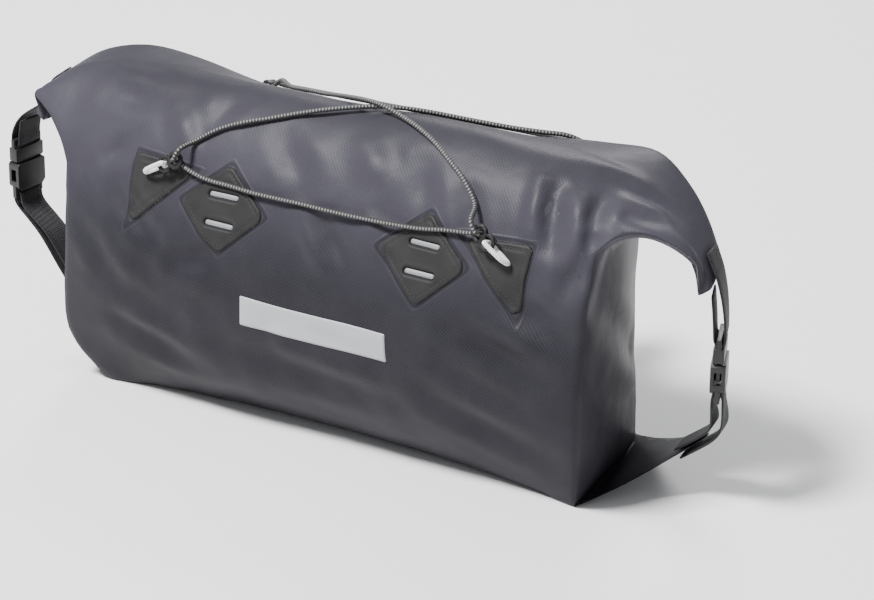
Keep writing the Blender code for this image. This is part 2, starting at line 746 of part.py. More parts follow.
def tube(name, points, radius, look, closed=False, resolution=2):
    """Round cord along a path."""
    curve = bpy.data.curves.new(name, "CURVE")
    curve.dimensions = "3D"
    curve.bevel_depth = radius
    curve.bevel_resolution = resolution
    curve.use_fill_caps = True
    spline = curve.splines.new("POLY")
    spline.points.add(len(points) - 1)
    for target, point in zip(spline.points, points):
        target.co = (*map(float, point), 1.0)
    spline.use_cyclic_u = closed
    item = bpy.data.objects.new(name, curve)
    bpy.context.scene.collection.objects.link(item)
    item.data.materials.append(material(name + "_look", *LOOKS[look]))
    return item


def ring_mesh(centre, across, along, radius, wire, long_steps=10, round_steps=6):
    """Vertices and faces of a ring."""
    normal = np.cross(across, along)
    points = []
    for i in range(long_steps):
        turn = 2.0 * math.pi * (i + 0.5) / long_steps
        out = across * math.cos(turn) + along * math.sin(turn)
        for k in range(round_steps):
            roll = 2.0 * math.pi * k / round_steps
            points.append(centre + out * (radius + wire * math.cos(roll)) + normal * wire * math.sin(roll))
    faces = []
    for i in range(long_steps):
        j = (i + 1) % long_steps
        for k in range(round_steps):
            m = (k + 1) % round_steps
            faces.append((i * round_steps + k, i * round_steps + m,
                          j * round_steps + m, j * round_steps + k))
    return points, outward(points, faces)


def join_bodies(target, other, operation):
    """Boolean of two objects, kept on the first one."""
    modifier = target.modifiers.new("join", "BOOLEAN")
    modifier.operation = operation
    modifier.solver = "EXACT"
    modifier.object = other
    bpy.context.view_layer.update()
    graph = bpy.context.evaluated_depsgraph_get()
    mesh = bpy.data.meshes.new_from_object(target.evaluated_get(graph))
    target.modifiers.remove(modifier)
    target.data = mesh
    bpy.data.objects.remove(other, do_unlink=True)


def hook(name, cord_ring, loop_ring, side):
    """Small cord hook: one ring for the cord and one for the sewn loop."""
    along = unit(np.array(loop_ring) - np.array(cord_ring))
    side = unit(np.cross(along, np.cross(side, along)))
    points, faces = ring_mesh(np.array(cord_ring), side, along, HOOK_RING, HOOK_WIRE)
    item = add_mesh(name, points, faces, "plastic")
    points, faces = ring_mesh(np.array(loop_ring), side, along, HOOK_RING, HOOK_WIRE)
    other = add_mesh(name + "_loop", points, faces, "plastic")
    join_bodies(item, other, "UNION")
    smooth_faces(item, 60.0)
    return item


def block(name, low, high, look):
    """Box between two corners."""
    corners = [(x, y, z) for z in (low[2], high[2]) for y in (low[1], high[1]) for x in (low[0], high[0])]
    faces = [(0, 2, 3, 1), (4, 5, 7, 6), (0, 1, 5, 4), (1, 3, 7, 5), (3, 2, 6, 7), (2, 0, 4, 6)]
    return add_mesh(name, corners, faces, look)


def prism(name, outline, low, high, look):
    """Outline in X and Y, raised from one height to another."""
    count = len(outline)
    points = [(x, y, low) for x, y in outline] + [(x, y, high) for x, y in outline]
    faces = [tuple(range(count))[::-1], tuple(range(count, 2 * count))]
    faces += [(i, (i + 1) % count, (i + 1) % count + count, i + count) for i in range(count)]
    return add_mesh(name, points, outward(points, faces), look)


def placed(item, origin, across, down, normal):
    """Move an object's vertices from its own frame into the bag's frame."""
    for vertex in item.data.vertices:
        x, y, z = vertex.co
        vertex.co = Vector(origin + across * x + down * y + normal * z)
    if float(np.cross(across, down) @ normal) < 0.0:
        item.data.flip_normals()
    item.data.update()


def front_patches(skin):
    """Triangle and diamond patches, the reflectors in their slots, and the label."""
    for side, word in ((-1, "left"), (1, "right")):
        outline = rounded_outline(mirrored(TRIANGLE, side), TRIANGLE_ROUND)
        draped("patch_triangle_" + word, skin, outline, [], PATCH_LIFT, PATCH_THICK, "rubber")
        outline = rounded_outline(mirrored(DIAMOND, side), DIAMOND_ROUND)
        slots = []
        for row, (x, z) in SLOT_HEIGHTS.items():
            middle = (side * x * BODY_HALF, z * HEIGHT)
            slots.append(slot_outline(middle, SLOT_LENGTH, SLOT_WIDTH))
            bar = slot_outline(middle, SLOT_LENGTH - 2.5 * GAP, SLOT_WIDTH - 2.5 * GAP)
            draped("reflector_%s_%s" % (word, row), skin, bar, [], PATCH_LIFT,
                   0.6 * PATCH_THICK, "reflector")
        draped("patch_diamond_" + word, skin, outline, slots, PATCH_LIFT, PATCH_THICK, "rubber")
    corners = [np.array(corner) for corner in (
        (-LABEL_HALF, LABEL_LOW * HEIGHT), (LABEL_HALF, LABEL_LOW * HEIGHT),
        (LABEL_HALF, LABEL_HIGH * HEIGHT), (-LABEL_HALF, LABEL_HIGH * HEIGHT))]
    draped("label_strip", skin, corners, [], PATCH_LIFT, LABEL_THICK, "label")


class Anchor:
    """A sewn loop, the hook on it and the place where the cord turns."""

    def __init__(self, name, loop_name, foot, along, normal, lift):
        self.name = name
        self.normal = unit(normal)
        self.along = unit(along - self.normal * float(along @ self.normal))
        self.side = np.cross(self.along, self.normal)
        centre = foot + self.normal * lift
        self.loop_ring = centre + self.along * 0.0130
        self.cord_ring = self.loop_ring + self.along * HOOK_REACH
        hook(name, self.cord_ring, self.loop_ring, self.side)
        spread = HOOK_WIRE + LOOP_RADIUS + RING_CLEAR
        low = foot + self.normal * (PATCH_LIFT + PATCH_THICK + LOOP_RADIUS + GAP)
        path = [low + self.along * 0.001,
                low + self.along * 0.004 + self.normal * 0.0004,
                self.loop_ring - self.normal * spread - self.along * 0.0020,
                self.loop_ring - self.normal * 0.72 * spread - self.along * 0.0003,
                self.loop_ring,
                self.loop_ring + self.normal * 0.72 * spread - self.along * 0.0003,
                self.loop_ring + self.normal * spread - self.along * 0.0020,
                centre - self.along * 0.0012 + self.normal * 0.0008,
                low - self.along * 0.0052]
        tube(loop_name, path, LOOP_RADIUS, "white_cord", resolution=1)

    def leave(self, sign, target):
        """Point just outside the ring on one face, towards the place the cord runs to."""
        flat = np.array(target) - self.cord_ring
        flat = flat - self.normal * float(flat @ self.normal)
        spread = HOOK_WIRE + CORD_RADIUS + RING_CLEAR
        return self.cord_ring + self.normal * sign * spread + unit(flat) * CORD_LEAVE

    def turn(self, first_up, before, after):
        """Points where the cord goes through the ring, from one face to the other."""
        spread = HOOK_WIRE + CORD_RADIUS + RING_CLEAR
        sign = 1.0 if first_up else -1.0
        path = [self.leave(sign, before)]
        for share, back in zip((1.0, 0.72, 0.0, -0.72, -1.0), (0.0015, 0.0003, 0.0, 0.0003, 0.0015)):
            path.append(self.cord_ring + self.normal * sign * share * spread + self.along * back)
        return path + [self.leave(-sign, after)]


def anchors(skin):
    """The four loops and hooks."""
    made = {}
    for side, word in ((-1, "left"), (1, "right")):
        x, z = FRONT_FOOT[side][0] * BODY_HALF, FRONT_FOOT[side][1] * HEIGHT
        foot = skin.front(x, z)
        ahead = skin.front(FRONT_AIM[side][0] * BODY_HALF, FRONT_AIM[side][1] * HEIGHT)
        beside = skin.front(x, z - 0.012)
        normal = np.cross(ahead - foot, beside - foot)
        normal = normal if normal[1] < 0.0 else -normal
        made["front_" + word] = Anchor("cord_hook_front_" + word, "cord_loop_" + word,
                                       foot, ahead - foot, normal, HOOK_LIFT)
        x = REAR_FOOT_X[side] * BODY_HALF
        foot = skin.rear(x, REAR_FOOT_Z[side] * HEIGHT)
        made["rear_" + word] = Anchor("cord_hook_rear_" + word, "rear_loop_" + word, foot,
                                      np.array((0.0, -0.40, 0.92)), np.array((0.0, 0.92, 0.40)),
                                      HOOK_LIFT)
    return made


def strand(skin, start, middle, finish, clearance, rise):
    """Cord points between two places, kept clear of the bag and laid on it between."""
    points = [start] + list(middle) + [finish]
    length = sum(np.linalg.norm(b - a) for a, b in zip(points, points[1:]))
    count = max(4, int(length / CORD_SPACING))
    result = []
    for point in even_path(points, count + 1)[1:-1]:
        extra = 0.0 if rise is None else rise[1] * math.exp(-((point[0] - rise[0]) / 0.016) ** 2)
        ends = min(np.linalg.norm(point - start), np.linalg.norm(point - finish))
        free = len(middle) == 0 or ends < CORD_FREE
        result.append(skin.over(point, clearance + extra, free))
    for _ in range(4):
        for near, far in zip(result, result[1:]):
            half = 0.5 * (near + far)
            push = skin.clear(half, clearance - 0.0004) - half
            near += push
            far += push
    return result


def shock_cord(skin, places):
    """The elastic cord, one closed loop over the four hooks."""
    left, right = places["front_left"], places["front_right"]
    rear_left, rear_right = places["rear_left"], places["rear_right"]
    up, down, across = (np.array(table) * SHARE_SCALES
                        for table in (STRAND_LEFT, STRAND_RIGHT, STRAND_FRONT))
    ends = [left.turn(False, across[-1], up[0]),
            rear_right.turn(False, up[-1], rear_left.cord_ring),
            rear_left.turn(True, rear_right.cord_ring, down[0]),
            right.turn(True, down[-1], across[0])]
    runs = [(up, CORD_CLEAR, None), ((), CORD_CLEAR, None), (down, CORD_CLEAR, CROSSING),
            (across, CORD_CLEAR + PATCH_LIFT + PATCH_THICK, None)]
    path = []
    for k, (points, clearance, rise) in enumerate(runs):
        path += ends[k]
        finish = ends[(k + 1) % len(ends)][0]
        path += strand(skin, ends[k][-1], points, finish, clearance, rise)
    tube("shock_cord", path, CORD_RADIUS, "cord", closed=True, resolution=2)


def wrap(bar, normal, down, start, finish, steps=5):
    """Webbing centre line round a bar, angles in degrees from the outer side."""
    reach = 1.42 * BAR_RADIUS + 0.5 * WEB_THICK + 2.0 * GAP
    result = []
    for k in range(steps + 1):
        angle = math.radians(start + (finish - start) * k / steps)
        result.append(bar + normal * reach * math.cos(angle) + down * reach * math.sin(angle))
    return result


def buckle(side, word):
    """Fastened buckle between the two straps; returns its bars and directions."""
    top = np.array(BUCKLE_TOP[side]) * SHARE_SCALES
    low = np.array(BUCKLE_LOW[side]) * SHARE_SCALES
    down = unit(low - top)
    yaw = STRAP_YAW[side]
    across = np.array((-side * math.sin(yaw), math.cos(yaw), 0.0))
    across = unit(across - down * float(across @ down))
    normal = np.cross(across, down) * -side
    centre = 0.5 * (top + low)
    half = 0.5 * BUCKLE_WIDTH
    end = 0.5 * np.linalg.norm(low - top)
    slot = 0.5 * WEB_WIDTH + 0.00045
    bar = BAR_RADIUS

    outline = [(-half, -end - bar), (half, -end - bar), (half, -0.0070), (-half, -0.0070)]
    male = prism("buckle_male_" + word, outline, -bar, bar, "plastic")
    hole = block("slot", (-slot, -end + bar, -0.02), (slot, -end + 0.0054, 0.02), "plastic")
    join_bodies(male, hole, "DIFFERENCE")
    body = [(-half, -end + 0.0050), (half, -end + 0.0050), (half, -0.0062), (half - 0.002, -0.0052),
            (-half + 0.002, -0.0052), (-half, -0.0062)]
    join_bodies(male, prism("body", body, -0.0036, 0.0036, "plastic"), "UNION")
    for low_x, high_x, reach in ((-0.0102, -0.0074, 0.0075), (-0.0028, 0.0028, 0.0110),
                                 (0.0074, 0.0102, 0.0075)):
        prong = block("prong", (low_x, -0.0060, -0.0014), (high_x, reach, 0.0014), "plastic")
        join_bodies(male, prong, "UNION")
    placed(male, centre, across, down, normal)

    deep = 0.5 * BUCKLE_THICK
    outline = [(-half + 0.0015, -0.0046), (half - 0.0015, -0.0046), (half, -0.0030), (half, 0.0130),
               (half - 0.003, end - 0.0046), (-half + 0.003, end - 0.0046), (-half, 0.0130),
               (-half, -0.0030)]
    female = prism("buckle_female_" + word, outline, -deep, deep, "plastic")
    inner = block("cavity", (-0.0108, -0.0200, -0.0030), (0.0108, 0.0140, 0.0030), "plastic")
    join_bodies(female, inner, "DIFFERENCE")
    window = block("window", (-0.02, 0.0005, -0.0024), (0.02, 0.0095, 0.0024), "plastic")
    join_bodies(female, window, "DIFFERENCE")
    frame = prism("frame", [(-half, end - 0.0075), (half, end - 0.0075), (half, end + bar),
                            (-half, end + bar)], -bar, bar, "plastic")
    hole = block("slot", (-slot, end - 0.0054, -0.02), (slot, end - bar, 0.02), "plastic")
    join_bodies(frame, hole, "DIFFERENCE")
    join_bodies(female, frame, "UNION")
    placed(female, centre, across, down, normal)
    return top, low, across, down, normal


def ear_line(side, out, upper):
    """Point on the middle of the ear and the direction away from its face."""
    def at(value):
        return base_point(value, side, "front", "end", 1.0) if upper \
            else base_point(1.0, side, "front", "end", value)
    step = 0.02
    near = at(out - step)
    far = at(out)
    edge = wall_point(0, side, "rear", "panel", 1.0) - wall_point(0, side, "front", "panel", 1.0)
    normal = unit(np.cross(far - near, edge)) * side
    offset = 0.5 * WALL + 0.5 * WEB_THICK + 3.5 * GAP
    point = at(out)
    return point + normal * (offset if upper else -offset), unit(far - near), unit(edge)


def side_straps(side, word):
    """Webbing from the tip of the roll to the buckle, and from the buckle to the ear."""
    top, low, across, down, normal = buckle(side, word)
    offset = -(0.5 * WALL + 0.5 * WEB_THICK + GAP + 0.0006) / LAYER_GAP
    centres = []
    sides = []
    for station in (0.925, 0.95, 0.975, 0.998):
        centres.append(roll_point(side * station, 19.0, offset))
        sides.append(unit(roll_rear_point(side * station) - crease_point(side * station)))
    around = wrap(top, normal, down, 0.0, 180.0)
    lead = [0.45 * centres[-1] + 0.55 * (around[0] - down * 0.010) + normal * STRAP_BOW[side]]
    lead.append(around[0] - down * 0.006)
    tail = [around[-1] - down * 0.008 - normal * 0.0002]
    tail.append(around[-1] - down * 0.6 * STRAP_TAIL[side] - normal * 0.0010)
    tail.append(around[-1] - down * STRAP_TAIL[side] - normal * 0.0022)
    bend = [unit(sides[-1] * (1.0 - share) + across * share) for share in (0.5, 0.9)]
    centres += lead + around + tail
    sides += bend + [across] * (len(around) + len(tail))
    band("strap_upper_" + word, centres, sides, WEB_WIDTH, WEB_THICK, "webbing")

    centres = []
    sides = []
    for out in (0.70, 0.80, 0.90, 0.985):
        point, reach, edge = ear_line(side, out, True)
        centres.append(point)
        sides.append(edge)
    inner = wrap(low, normal, down, 180.0, 360.0)
    last = centres[-1]
    target = inner[0] + down * 0.007
    centres.append(last + reach * 0.005 + (target - last) * 0.10)
    centres.append(last * 0.42 + target * 0.58 + reach * 0.0025)
    sides += [unit(edge * 0.75 + across * 0.25), unit(edge * 0.35 + across * 0.65)]
    centres.append(target)
    sides.append(across)
    centres += inner
    sides += [across] * len(inner)
    outer = inner[-1] + down * 0.007
    point, reach, edge = ear_line(side, 0.985, False)
    centres.append(outer)
    sides.append(across)
    centres.append(point * 0.42 + outer * 0.58 + reach * 0.0045)
    centres.append(point + reach * 0.0075 + (outer - point) * 0.10)
    sides += [unit(edge * 0.35 + across * 0.65), unit(edge * 0.75 + across * 0.25)]
    for out in (0.985, 0.90, 0.80, 0.70):
        point, reach, edge = ear_line(side, out, False)
        centres.append(point)
        sides.append(edge)
    band("strap_lower_" + word, centres, sides, WEB_WIDTH, WEB_THICK, "webbing")


def rear_mount(skin):
    """Foam spacers on the rear panel and the closed straps for a handlebar."""
    for side, word in ((-1, "left"), (1, "right")):
        middle = side * MOUNT_X
        half = 0.5 * SPACER_WIDTH
        outline = rounded_outline([(middle - half, SPACER_LOW), (middle + half, SPACER_LOW),
                                   (middle + half, SPACER_HIGH), (middle - half, SPACER_HIGH)], 0.006)
        points, faces = plate_triangles(outline, [], skin.lines(skin.rear, outline))
        near = []
        far = []
        for x, z in points:
            near.append(skin.rear(x, z) + np.array((0.0, PATCH_LIFT, 0.0)))
            far.append(np.array((x, SPACER_BACK, z)))
        solid, sides = thick_plate(near, far, faces)
        add_mesh("spacer_" + word, solid, outward(solid, sides), "foam")
        reach = HANDLEBAR_RADIUS + 0.5 * BAR_STRAP_THICK
        start = SPACER_BACK + GAP + 0.5 * BAR_STRAP_THICK
        centre_y = start + reach
        centres = []
        for k in range(BAR_STRAP_STEPS + 1):
            angle = math.radians(-90.0 + 180.0 * k / BAR_STRAP_STEPS)
            centres.append(np.array((middle, centre_y + reach * math.cos(angle),
                                     BAR_HEIGHT + reach * math.sin(angle))))
        centres.append(np.array((middle, start + 0.003, BAR_HEIGHT + reach)))
        centres.append(np.array((middle, start, BAR_HEIGHT + reach - 0.003)))
        centres.append(np.array((middle, start, BAR_HEIGHT - reach + 0.003)))
        centres.append(np.array((middle, start + 0.003, BAR_HEIGHT - reach)))
        sides = [np.array((1.0, 0.0, 0.0))] * len(centres)
        band("bar_strap_" + word, centres, sides, 0.024, BAR_STRAP_THICK, "rubber", closed=True)


def main():
    """Build every piece."""
    clear_scene()
    points, faces = shell_solid()
    shell = add_mesh("bag_shell", points, faces, "cloth")
    smooth_faces(shell, 50.0)
    skin = Skin(points, faces)
    front_patches(skin)
    places = anchors(skin)
    shock_cord(skin, places)
    for side, word in ((-1, "left"), (1, "right")):
        side_straps(side, word)
    rear_mount(skin)


main()
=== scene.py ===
"""Looks of a roll-top handlebar bag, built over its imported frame."""

import math

import bmesh
import bpy
import numpy as np
from bpy.props import FloatProperty, FloatVectorProperty, IntProperty, PointerProperty
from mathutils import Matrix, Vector, noise
from mathutils.bvhtree import BVHTree
from mathutils.geometry import delaunay_2d_cdt


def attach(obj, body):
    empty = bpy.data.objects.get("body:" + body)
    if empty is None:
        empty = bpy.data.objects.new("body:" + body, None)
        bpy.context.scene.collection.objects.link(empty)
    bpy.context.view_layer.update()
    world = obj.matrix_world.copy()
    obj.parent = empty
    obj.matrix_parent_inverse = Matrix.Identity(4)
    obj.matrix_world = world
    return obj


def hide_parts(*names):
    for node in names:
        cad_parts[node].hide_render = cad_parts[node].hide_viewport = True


bl_info = {
    "name": "Handlebar Bag",
    "version": (1, 0, 0),
    "blender": (4, 5, 0),
    "location": "3D Viewport > Sidebar > Bag",
    "description": "Cloth, patches, cord, straps and stage of a roll-top handlebar bag",
    "category": "Object",
}

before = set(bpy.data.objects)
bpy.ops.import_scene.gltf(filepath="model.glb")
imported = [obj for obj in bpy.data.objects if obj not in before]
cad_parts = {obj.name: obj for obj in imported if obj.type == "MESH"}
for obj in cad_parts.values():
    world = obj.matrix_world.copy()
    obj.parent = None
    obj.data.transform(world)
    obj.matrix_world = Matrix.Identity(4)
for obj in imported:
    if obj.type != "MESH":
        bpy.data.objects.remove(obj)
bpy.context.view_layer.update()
SIDES = ((-1, "left"), (1, "right"))
MM = 0.001
TURN = 2.0 * math.pi

# Outlines on the front panel in metres, right half: x and height
DIAMOND = ((0.0757, 0.1836), (0.1068, 0.1581), (0.0767, 0.1308), (0.0447, 0.1590))
TRIANGLE = ((0.1495, 0.1780), (0.1472, 0.1361), (0.1041, 0.1754))
SLOTS = {"upper": (0.0762, 0.1663), "lower": (0.0760, 0.1487)}
SLOT_SIZE = (0.0230, 0.0045)
CORNER_BLEND = 0.006        # rounding of the welded lines at the patches' corners
PATCH_MARGIN = 0.0016       # thin welded edge of a patch beyond its outline
DIAMOND_ROUND = 0.006
TRIANGLE_ROUND = 0.004
STITCH_INSET = 0.0032       # from a patch's outline to its stitches
STITCH_LIFT = 0.0012        # height of the stitches above the cloth
STITCH_ROUND = (0.0050, 0.0030)
SKIRT = 0.0006              # how far a patch's edge reaches under the cloth
LABEL = (0.0560, 0.0847, 0.1053)

# Raised profile of a welded patch: distance inside the edge and height, in metres
PATCH_PROFILE = ((0.0, 0.0004), (0.0003, 0.0011), (0.0009, 0.0015), (0.0024, 0.0015),
                 (0.0029, 0.0011), (0.0035, 0.0011), (0.0040, 0.0015), (0.0060, 0.0016))
SLOT_PROFILE = ((0.0, 0.0004), (0.0004, 0.0013), (0.0010, 0.0019), (0.0017, 0.0019),
                (0.0024, 0.0016))

# Soft folds in the cloth: two ends, half width and depth, in millimetres
FOLDS = (
    ((196, -52, 194), (186, -66, 184), 6, 2.2),
    ((187, -64, 184), (176, -79, 154), 7, 3.6),
    ((195, -62, 172), (192, -74, 152), 6, -1.6),
    ((152, -47, 209), (164, -67, 183), 8, 4.6),
    ((142, -40, 214), (148, -62, 188), 6, -3.2),
    ((168, -44, 206), (178, -66, 176), 7, -2.6),
    ((184, -34, 208), (184, -58, 192), 6, 3.6),
    ((204, -40, 203), (228, -30, 196), 6, 3.0),
    ((180, -22, 215), (226, -18, 195), 6, 2.6),
    ((196, -12, 212), (160, -16, 218), 7, -2.0),
    ((98, -60, 200), (112, -80, 166), 7, 2.6),
    ((146, -82, 146), (182, -80, 128), 8, 4.2),
    ((128, -88, 132), (172, -86, 112), 8, -2.6),
    ((104, -90, 118), (164, -88, 100), 9, 3.0),
    ((100, -90, 92), (150, -88, 72), 10, 2.4),
    ((2, -74, 162), (24, -88, 140), 8, 3.2),
    ((-18, -74, 164), (6, -88, 142), 7, -2.4),
    ((28, -68, 178), (40, -78, 160), 8, -2.6),
    ((-44, -52, 206), (-20, -66, 184), 9, 2.6),
    ((16, -46, 210), (36, -60, 192), 9, -2.2),
    ((60, -50, 208), (70, -66, 186), 8, 2.4),
    ((-126, -86, 130), (-160, -78, 150), 7, 3.6),
    ((-104, -88, 118), (-66, -88, 134), 8, 3.0),
    ((-116, -90, 110), (-70, -90, 102), 8, -2.2),
    ((-178, -62, 168), (-158, -66, 186), 7, 3.6),
    ((-200, -58, 164), (-176, -72, 140), 7, 3.2),
    ((-184, -80, 122), (-160, -84, 100), 8, 3.0),
    ((-166, -84, 92), (-112, -90, 76), 10, 2.8),
    ((-130, -46, 208), (-116, -60, 190), 7, -2.2),
    ((-90, -30, 220), (-104, -54, 200), 8, 2.4),
    ((-190, -40, 204), (-150, -46, 210), 7, 3.0),
    ((-206, -20, 206), (-168, -26, 214), 6, -2.2),
    ((-70, -90, 64), (30, -92, 50), 11, 2.6),
    ((-20, -92, 78), (70, -90, 68), 9, -1.8),
    ((86, -90, 66), (164, -84, 34), 11, 3.2),
    ((-156, -84, 60), (-96, -90, 34), 10, 2.8),
    ((192, -60, 140), (191, -6, 96), 9, 3.6),
    ((190, -50, 96), (186, 8, 66), 8, -2.6),
    ((186, -40, 60), (184, 24, 40), 8, 2.4),
    ((-196, -20, 120), (-190, 30, 70), 8, 3.0),
    ((-40, 58, 140), (60, 60, 100), 12, 3.0),
    ((-150, 56, 90), (-90, 60, 60), 10, 3.0),
    ((100, 58, 60), (160, 54, 110), 10, 3.0),
    ((-20, 60, 60), (40, 60, 30), 10, 2.4),
)

# Most that the folds may move the cloth, in metres
FOLD_LIMIT = 0.0045

# Places where the cloth stays still: point and radius in millimetres
CALM = (
    ((-131, -76, 174), 15),
    ((131, -79, 172), 15),
    ((-118, 50, 180), 15),
    ((145, 48, 186), 15),
    ((-75, 66, 132), 42),
    ((75, 66, 132), 42),
)

# Middle line of the elastic cord in millimetres, one closed loop over its four hooks
CORD_PATH = (
    (-106.9, -72.3, 178.4), (-113.9, -70.1, 182.3), (-115.0, -71.3, 182.3), (-115.4, -74.0, 183.4),
    (-115.2, -76.5, 184.8), (-114.1, -77.3, 185.8), (-110.9, -74.1, 192.4), (-107.1, -60.7, 194.1),
    (-92.8, -54.3, 203.0), (-76.4, -49.6, 209.5), (-59.7, -44.0, 213.8), (-43.0, -38.1, 218.4),
    (-26.2, -32.9, 222.7), (-9.4, -26.8, 225.8), (7.1, -19.0, 227.2), (23.3, -10.5, 226.2),
    (39.4, -2.0, 223.5), (55.9, 5.2, 220.5), (72.6, 11.6, 218.0), (89.6, 17.6, 215.9),
    (107.1, 23.1, 214.8), (123.3, 30.0, 213.0), (137.4, 37.9, 204.5), (144.8, 39.5, 200.8),
    (144.8, 41.0, 200.2), (144.8, 43.7, 201.1), (144.8, 46.2, 202.5), (144.8, 46.8, 204.0),
    (135.6, 47.5, 202.4), (116.8, 47.7, 201.8), (98.1, 47.9, 201.3), (79.3, 48.1, 200.7),
    (60.5, 48.3, 200.2), (41.7, 48.5, 199.6), (23.0, 48.8, 199.0), (4.2, 49.0, 198.5),
    (-14.6, 49.2, 197.9), (-33.4, 49.4, 197.4), (-52.1, 49.6, 196.8), (-70.9, 49.8, 196.3),
    (-89.7, 50.0, 195.7), (-108.5, 50.2, 195.1), (-117.7, 49.7, 196.3), (-117.7, 49.2, 194.7),
    (-117.7, 46.7, 193.3), (-117.7, 43.9, 192.4), (-117.7, 42.4, 193.1), (-110.8, 40.5, 197.3),
    (-98.2, 31.8, 207.2), (-84.5, 22.2, 208.3), (-67.8, 16.5, 210.7), (-50.9, 10.6, 214.2),
    (-35.6, 2.1, 219.1), (-20.2, -6.7, 224.0), (-4.0, -15.1, 228.3), (12.8, -21.9, 230.5),
    (30.3, -25.8, 227.5), (47.1, -32.1, 224.8), (63.1, -38.8, 220.2), (78.2, -47.0, 214.4),
    (93.0, -54.3, 206.8), (105.2, -62.0, 195.8), (110.4, -76.7, 191.7), (114.9, -79.3, 185.9),
    (116.0, -78.5, 184.9), (116.4, -75.9, 183.7), (116.3, -73.2, 182.8), (115.4, -71.9, 183.0),
    (107.5, -72.3, 180.7), (90.5, -73.5, 179.3), (72.5, -74.6, 176.6), (54.5, -75.0, 175.3),
    (36.4, -75.2, 174.6), (18.3, -75.3, 174.2), (0.2, -75.3, 174.1), (-17.9, -75.2, 174.3),
    (-36.0, -75.3, 174.0), (-54.1, -75.3, 174.0), (-72.2, -74.7, 174.7), (-90.5, -74.3, 175.3),
)

# Middle lines of the four loops that hold the cord's hooks, in millimetres
LOOP_PATHS = {
    "cord_loop_left": (
        (-132.8, -73.4, 172.9), (-130.1, -73.2, 174.4), (-123.9, -72.1, 177.4),
        (-122.5, -72.8, 178.7), (-122.3, -75.4, 180.1), (-122.6, -78.1, 181.3),
        (-124.2, -79.4, 181.1), (-134.9, -78.7, 174.5), (-138.3, -74.6, 170.3),
    ),
    "rear_loop_left": (
        (-117.7, 50.2, 173.3), (-117.7, 49.4, 176.2), (-117.7, 46.8, 182.7),
        (-117.7, 47.2, 184.7), (-117.7, 49.8, 186.1), (-117.7, 52.6, 187.0),
        (-117.7, 54.3, 185.9), (-117.7, 56.2, 173.4), (-117.7, 52.7, 167.6),
    ),
    "cord_loop_right": (
        (132.9, -76.6, 171.9), (130.4, -76.2, 173.5), (124.7, -74.6, 177.2),
        (123.2, -75.3, 178.5), (122.8, -77.9, 179.7), (122.9, -80.7, 180.7),
        (124.2, -82.2, 180.2), (134.4, -82.3, 172.8), (138.0, -78.2, 168.7),
    ),
    "rear_loop_right": (
        (144.8, 47.3, 181.0), (144.8, 46.5, 183.9), (144.8, 43.9, 190.4),
        (144.8, 44.2, 192.4), (144.8, 46.8, 193.9), (144.8, 49.7, 194.8),
        (144.8, 51.4, 193.7), (144.8, 53.2, 181.2), (144.8, 49.8, 175.3),
    ),
}

BAR_PROFILE = ((0.0, 0.0003), (0.0003, 0.0006), (0.0008, 0.0008), (0.0015, 0.0009))
BAR_MARGIN = 0.0007         # rubber seen between a bar and the edge of its slot
LOOP_RADIUS = 0.0016
HOOK_SWELL = 0.0003         # roundness added to the hooks
LABEL_PROFILE = ((0.0, 0.0003), (0.0002, 0.0006), (0.0005, 0.0007))

# Soft lamps: name, place in metres, edge in metres, power in watts
LAMPS = (
    ("key", (-0.8, -1.2, 2.7), 0.7, 230.0),
    ("fill", (2.6, -0.9, 0.9), 1.2, 2.5),
    ("back", (-0.6, 2.2, 1.8), 1.2, 60.0),
)
WORLD_STRENGTH = 0.42
SHEEN_ROUGHNESS = 0.45
FLOOR_HALF = 6.0

# Camera of the photo
CAMERA_PLACE = (1.00623, -1.67070, 1.01117)
CAMERA_ANGLES = (30.0, 25.57)
CAMERA_LENS = 131.8


